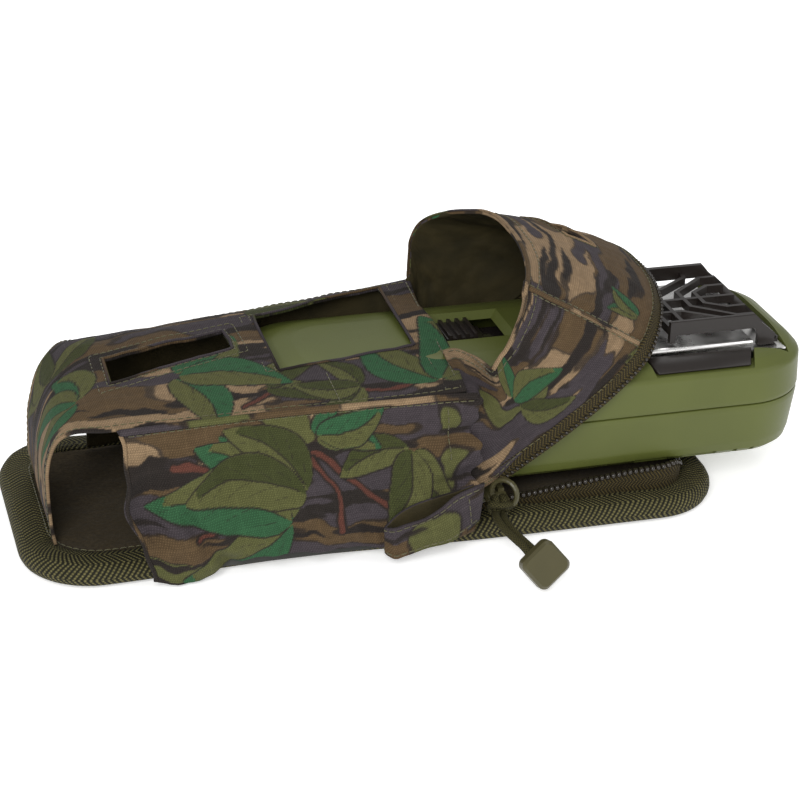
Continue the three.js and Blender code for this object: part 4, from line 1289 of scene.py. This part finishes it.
def make_hood():
    tint = print_of(HOOD_LEAVES, seed=9)
    hood = cloth("hood_cloth", hood_place, np.linspace(0, HOOD_ROUND, 380),
                 np.linspace(0, HOOD_DEEP, 96), [CAMO, BACK], tint=tint, holes=[HOOD_SLOT], thick=1.0)
    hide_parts("hood_near_panel", "hood_far_panel", "hood_band")
    bend_with_hood(hood)
    near, far = NEAR_SEAM * HOOD_ROUND, FAR_SEAM * HOOD_ROUND
    lines = [[(2, HOOD_DEEP - m), (HOOD_ROUND - 2, HOOD_DEEP - m)] for m in (1.2, 4.6)]
    lines += [[(seam + m, 1), (seam + m, HOOD_DEEP - 1)] for seam in (near, far) for m in (-1.6, 1.6)]
    lines.append([(2, 1.4), (HOOD_ROUND - 2, 1.4)])
    lines.append(widened(HOOD_SLOT, 1.2))
    paths = [on_cloth(hood_place, line) for line in lines]
    bend_with_hood(stitches("hood_stitches", paths, None))
    plain = print_of([], seed=95)
    for name, line, width in (
        ("hood_rim_edge", [(24, HOOD_DEEP - 0.3), (HOOD_ROUND - 4, HOOD_DEEP - 0.3)], 1.5),
        ("hood_near_seam", [(near, 1.5), (near, HOOD_DEEP - 1.5)], 1.7),
        ("hood_far_seam", [(far, 1.5), (far, HOOD_DEEP - 1.5)], 1.7),
        ("hood_slot_edge", widened(HOOD_SLOT, 0.3), 1.0),
    ):
        edge = hem_strip(name, hood_place, line, width, 0.5, None, plain)
        bend_with_hood(edge)


make_hood()


# ---- Zips -----------------------------------------------------------------------------------


def zip_ribbon(name, rows, body=None):
    """A thin closed ribbon of zip tape between two rows of points, with its flat lengths."""
    a, b = (np.asarray(r, float) for r in rows)
    n = len(a)
    across = b - a
    out = unit(np.cross(np.gradient(a, axis=0), across))
    shares = np.linspace(0, 1, 5)
    layers = [a + across * s + out * 0.45 for s in shares]
    layers += [a + across * s - out * 0.45 for s in shares[::-1]]
    points = np.stack(layers, 1)
    k = points.shape[1]
    made = new_object(name, points.reshape(-1, 3), tube_faces(n, k), [ZIP_TAPE], smooth=False)
    length = distances(a)
    wide = np.linalg.norm(across, axis=1)
    spread = np.concatenate([shares, shares[::-1]])
    flat = np.stack([np.repeat(length, k), (wide[:, None] * spread).ravel(), np.zeros(n * k)], -1)
    put_attribute(made, "flat", "FLOAT_VECTOR", "vector", flat)
    if body:
        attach(made, body)
    return made


# A zip tooth's outline: (height, half width), in parts of its size.
TOOTH = [(-0.7, 0.6), (-0.4, 0.9), (0.0, 1.0), (0.42, 0.8), (0.66, 0.36)]
TOOTH_SIDES = 8
TOOTH_PITCH = 1.95


def teeth(name, route, normals, size, body=None):
    """Moulded zip teeth: rounded beads along a route."""
    gaps = distances(route)
    vertices, faces = [], []
    along_all = np.gradient(route, axis=0)
    for at in np.arange(TOOTH_PITCH, gaps[-1] - TOOTH_PITCH, TOOTH_PITCH):
        centre = interpolate(at, gaps, route)
        along = unit(interpolate(at, gaps, along_all))
        up = unit(interpolate(at, gaps, normals))
        side = np.cross(along, up)
        base = len(vertices)
        for height, wide in TOOTH:
            for a, b in circle(1.0, TOOTH_SIDES):
                vertices.append(centre + up * height * size * 1.15
                                + along * a * wide * size * 0.8 + side * b * wide * size * 1.05)
        faces += tube_faces(len(TOOTH), TOOTH_SIDES, base)
    made = new_object(name, vertices, faces, [ZIP_TEETH])
    if body:
        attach(made, body)
    return made


def make_hood_zip():
    t = np.linspace(0.035, 0.965, 230)
    edge = spline(MOUTH, at=t, knots=HOOD_KNOTS)
    low = edge - np.array([0, 0, 4.4])
    top = hood_world(edge + np.array([0, 0, 1.2]))
    tape = zip_ribbon("hood_zip_ribbon", (hood_world(low), top))
    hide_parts("hood_zip_tape")
    bend_with_hood(tape)
    outer = edge.copy()
    outer[:, 1] *= 1.012
    outer[:, 0] += 0.7 * ease(40, 82, outer[:, 0])
    base = outer - np.array([0, 0, 3.4])
    down = hood_world(base - np.array([0, 0, 1.0])) - hood_world(base)
    beads = teeth("hood_zip_beads", hood_world(base), down, 0.75)
    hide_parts("hood_zip_teeth")
    bend_with_hood(beads)


make_hood_zip()


ZIP_HALF = 38.6


def make_panel_zip():
    """The lower half of the zip stands on the panel, from the slider round the end."""
    tape_high = box_of("panel_zip_tape")[1]
    half = ZIP_HALF
    right = tape_high.x
    corner = 12.0
    plan = [(30.0, -half), (40, -half), (60, -half), (80, -half)]
    for cx, cy, start in ((right - corner, -half + corner, 270), (right - corner, half - corner, 0)):
        plan += arc(cx, cy, corner, start, 7)
    plan += [(80, half), (60, half), (40, half), (30, half)]
    plan = spline([(x, y, 0) for x, y in plan], 260)
    x, y = plan[:, 0], plan[:, 1]
    lean = 0.9 * np.sin(x / 9)
    foot = np.stack([x, y * 0.985, np.full_like(x, PANEL_TOP - 0.2)], -1)
    lift = 4.4 * ease(42, 90, x) * ease(30, 37.5, np.abs(y)) + 0.3 * np.sin(x / 7)
    top = np.stack([x, y + lean * 0.2, np.full_like(x, tape_high.z + 0.6) + lift], -1)
    tape = zip_ribbon("panel_zip_ribbon", (foot, top), "holster")
    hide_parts("panel_zip_tape")
    up = np.tile([0.0, -0.25, 1.0], (len(top), 1))
    beads = teeth("panel_zip_beads", top + np.array([0, 0, 0.35]), up, 1.2, "holster")
    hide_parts("panel_zip_teeth")


make_panel_zip()

slider = soften("zip_slider", MOULDING, "moulding", 0.25)
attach(slider, "slider")
pull_ring = soften("pull_ring", MOULDING, "moulding", 0.05, 1)
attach(pull_ring, "pull")


# ---- Repeller -------------------------------------------------------------------------------

low, high = box_of("lower_shell")
BODY_LEFT, BODY_RIGHT, BODY_HALF = low.x, high.x, high.y
BASE, PARTING = low.z, high.z


BOW = 1.5  # how far the housing's ends bulge


def rounded_ring(left, right, half, radius, z, steps):
    points = []
    for cx, cy, start, side in (
        (right - radius, half - radius, 0, 1), (left + radius, half - radius, 90, -1),
        (left + radius, radius - half, 180, -1), (right - radius, radius - half, 270, 1),
    ):
        for x, y in arc(cx, cy, radius, start, steps):
            points.append((x + BOW * (1 - (y / half) ** 2) * side, y, z))
    return points


def supported(levels):
    """The same levels with more beside each one, so that shading turns sharply at it."""
    levels = [np.array(level, float) for level in levels]
    full = [levels[0]]
    for low, high in zip(levels, levels[1:]):
        if np.abs(high - low).max() > 1.2:
            full += [low + (high - low) * share for share in (0.07, 0.93)]
        full.append(high)
    return full


def lofted(name, levels, steps):
    """A closed body of the housing through outlines, each (left, right, half, radius, z)."""
    levels = supported(levels)
    rings = [rounded_ring(*level, steps=steps) for level in levels]
    k = len(rings[0])
    vertices = [p for ring in rings for p in ring]
    return new_object(name, vertices, tube_faces(len(rings), k), [GREEN])


def solid_box(name, low, high, *materials):
    x0, y0, z0 = low
    x1, y1, z1 = high
    vertices = [(x, y, z) for x in (x0, x1) for y in (y0, y1) for z in (z0, z1)]
    faces = [(0, 1, 3, 2), (4, 6, 7, 5), (0, 4, 5, 1), (2, 3, 7, 6), (0, 2, 6, 4), (1, 5, 7, 3)]
    return new_object(name, vertices, faces, materials, smooth=False)


def rod(name, a, b, radius):
    """A round bar from a to b."""
    up = (0, 0, 1) if abs(b[2] - a[2]) < abs(b[0] - a[0]) else (1, 0, 0)
    return swept(name, [a, b], circle(radius, 40), GREEN, ups=[up, up])


def prism(name, outline, low, high, grow=1.0):
    """An upright prism, which may widen towards its top."""
    outline = np.asarray(outline, float)
    centre = outline.mean(0)
    k = len(outline)
    top = centre + (outline - centre) * grow
    vertices = [(x, y, low) for x, y in outline] + [(x, y, high) for x, y in top]
    faces = [list(range(k))[::-1], list(range(k, 2 * k))]
    faces += [[a, (a + 1) % k, k + (a + 1) % k, k + a] for a in range(k)]
    return new_object(name, vertices, faces, [], smooth=False)


MOUTH_PLAN = [(91.65, -37), (124.35, -37), (128.35, -26), (88.65, -26)]
MOUTH_FLOOR = 46.55
CARTRIDGE_AXIS, CARTRIDGE_BORE = 32, 13
bed_low, bed_high = box_of("switch_bed")


def make_housing():
    left, right, half = BODY_LEFT + 1.5, BODY_RIGHT - 1.5, BODY_HALF
    lower = lofted("lower_shell_body", [
        (left + 7, right - 7.5, half - 7, 15, BASE + 0.05),
        (left + 4.4, right - 4.8, half - 4.4, 17, BASE + 0.7),
        (left + 2.5, right - 2.7, half - 2.5, 19, BASE + 2.4),
        (left + 1.6, right - 1.7, half - 1.6, 20.5, BASE + 5.4),
        (left + 0.25, right - 0.25, half - 0.25, 22, PARTING - 1.2),
        (left + 0.5, right - 0.5, half - 0.5, 21.8, PARTING - 0.2),
        (left + 0.95, right - 0.95, half - 0.95, 21.5, PARTING),
    ], 18)
    cavity = lofted("cavity", [
        (left + 8, right - 8, half - 8, 14, BASE + 2.4),
        (left + 3, right - 3, half - 3, 19, PARTING + 5),
    ], 8)
    bore = ("bore", (left - 9, 0, CARTRIDGE_AXIS), (10, 0, CARTRIDGE_AXIS), CARTRIDGE_BORE)
    scallops = [
        solid_box(f"scallop_{i}", (x, -BODY_HALF - 1, BASE - 1),
                  (x + long, -BODY_HALF + 4.6, BASE + 2.6))
        for i, (x, long) in enumerate([(86, 12), (103, 12), (121, 1.6), (127, 1.6)])
    ]
    cut(lower, [cavity, rod(*bore), *scallops])
    shade_by_angle(lower)
    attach(lower, "repeller")
    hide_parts("lower_shell")

    upper = lofted("upper_shell_body", [
        (left + 0.95, right - 0.95, half - 0.95, 21.5, PARTING + 0.2),
        (left + 0.45, right - 0.5, half - 0.45, 21.8, PARTING + 0.45),
        (left + 0.15, right - 0.15, half - 0.15, 22, PARTING + 1.5),
        (left + 0.5, right - 0.5, half - 0.5, 22, 45.2),
        (left + 0.75, right - 0.7, half - 0.75, 22, 45.85),
        (left + 1.3, right - 1.1, half - 1.3, 21.8, 46.4),
        (left + 3.3, right - 2.6, half - 3.3, 21, 48.0),
        (left + 4.2, right - 3.3, half - 4.2, 20.6, 48.7),
        (left + 5.6, right - 4.4, half - 5.6, 20, 49.4),
        (left + 10, right - 7.2, half - 10, 18, 50.9),
        (left + 14.6, right - 11.5, half - 14.6, 14, 52.3),
        (left + 20.5, right - 18, half - 20.5, 10, 53.45),
    ], 18)
    hollow = lofted("hollow", [
        (left + 3, right - 3, half - 3, 19, PARTING - 5),
        (left + 3, right - 3, half - 3, 19, 43.5),
        (left + 22, right - 20, half - 22, 8, 50.8),
    ], 8)
    cx, cy = (bed_low.x + bed_high.x) / 2, (bed_low.y + bed_high.y) / 2
    hx, hy = (bed_high.x - bed_low.x) / 2 + 0.35, (bed_high.y - bed_low.y) / 2 + 0.35
    square = [(cx - hx, cy - hy), (cx + hx, cy - hy), (cx + hx, cy + hy), (cx - hx, cy + hy)]
    recess = prism("recess", square, 40, 50.4)
    bevelled = prism("bevelled", square, 50.3, 54.5, grow=1.30)
    well = prism("well", [(88, -27.5), (140.5, -27.5), (140.5, 27.5), (88, 27.5)], 43, 60)
    mouth = prism("mouth", MOUTH_PLAN, MOUTH_FLOOR, 60)
    press_low, press_high = box_of("igniter_button")
    at_x, at_y = (press_low.x + press_high.x) / 2, (press_low.y + press_high.y) / 2
    button = rod("button_hole", (at_x, at_y, 40), (at_x, at_y, 60), 6.5)
    cut(upper, [hollow, recess, bevelled, well, mouth, button, rod(*bore)])
    shade_by_angle(upper)
    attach(upper, "repeller")
    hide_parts("upper_shell")


make_housing()

for node, finish, width, slot, body in (
    ("switch_bed", GREEN, 0.2, "device_green", "repeller"),
    ("slide_switch", BLACK, 0.3, "black_plastic", "switch"),
    ("igniter_button", BLACK, 0.5, "black_plastic", "button"),
    ("slot_plate", BLACK, 0.4, "black_plastic", "repeller"),
    ("grille", BLACK, 0.28, "black_plastic", "repeller"),
    ("heater_plate", PLATE, 0.2, "hot_plate", "repeller"),
):
    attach(soften(node, finish, slot, width), body)

knob_low, knob_high = box_of("slide_switch")
SWITCH_FLOOR = 47.65
base = solid_box("switch_base", (knob_low.x - 0.4, bed_low.y + 0.6, SWITCH_FLOOR),
                 (knob_high.x + 1.6, bed_high.y - 0.6, SWITCH_FLOOR + 0.7), BLACK_GLOSS)
bevel = base.modifiers.new("edges", "BEVEL")
bevel.width, bevel.segments = 0.3 * MM, 2
shade_by_angle(apply_modifiers(base))
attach(base, "switch")


# ---- Floor, backdrop and light --------------------------------------------------------------


def make_studio():
    mesh = bpy.data.meshes.new("floor")
    half = 14.0
    corners = [(-half, -half, 0), (half, -half, 0), (half, half, 0), (-half, half, 0)]
    mesh.from_pydata(corners, [], [(0, 1, 2, 3)])
    n = Nodes("floor", roughness=0.9)
    n.shader.inputs["Emission Color"].default_value = (1, 1, 1, 1)
    n.shader.inputs["Emission Strength"].default_value = 0.42
    mesh.materials.append(n.finish((0.93, 0.93, 0.93)))
    floor = linked("floor", mesh)
    floor.location.z = -0.0004
    world = bpy.data.worlds.new("world")
    world.use_nodes = True
    background = world.node_tree.nodes["Background"]
    background.inputs[0].default_value = (1, 1, 1, 1)
    background.inputs[1].default_value = 0.5
    bpy.context.scene.world = world
    bpy.context.scene.view_settings.view_transform = "Standard"
    lamps = [
        ("key", (-0.45, -0.95, 0.75), 0.5, 11.0),
        ("fill", (0.9, -0.6, 0.5), 0.8, 3.0),
        ("top", (0.25, 0.5, 1.0), 0.7, 3.0),
    ]
    for name, place, size, power in lamps:
        data = bpy.data.lights.new(name, "AREA")
        data.size = size
        data.energy = power
        lamp = linked(name, data)
        lamp.location = place
        lamp.rotation_euler = (-Vector(place)).to_track_quat("-Z", "Y").to_euler()


make_studio()
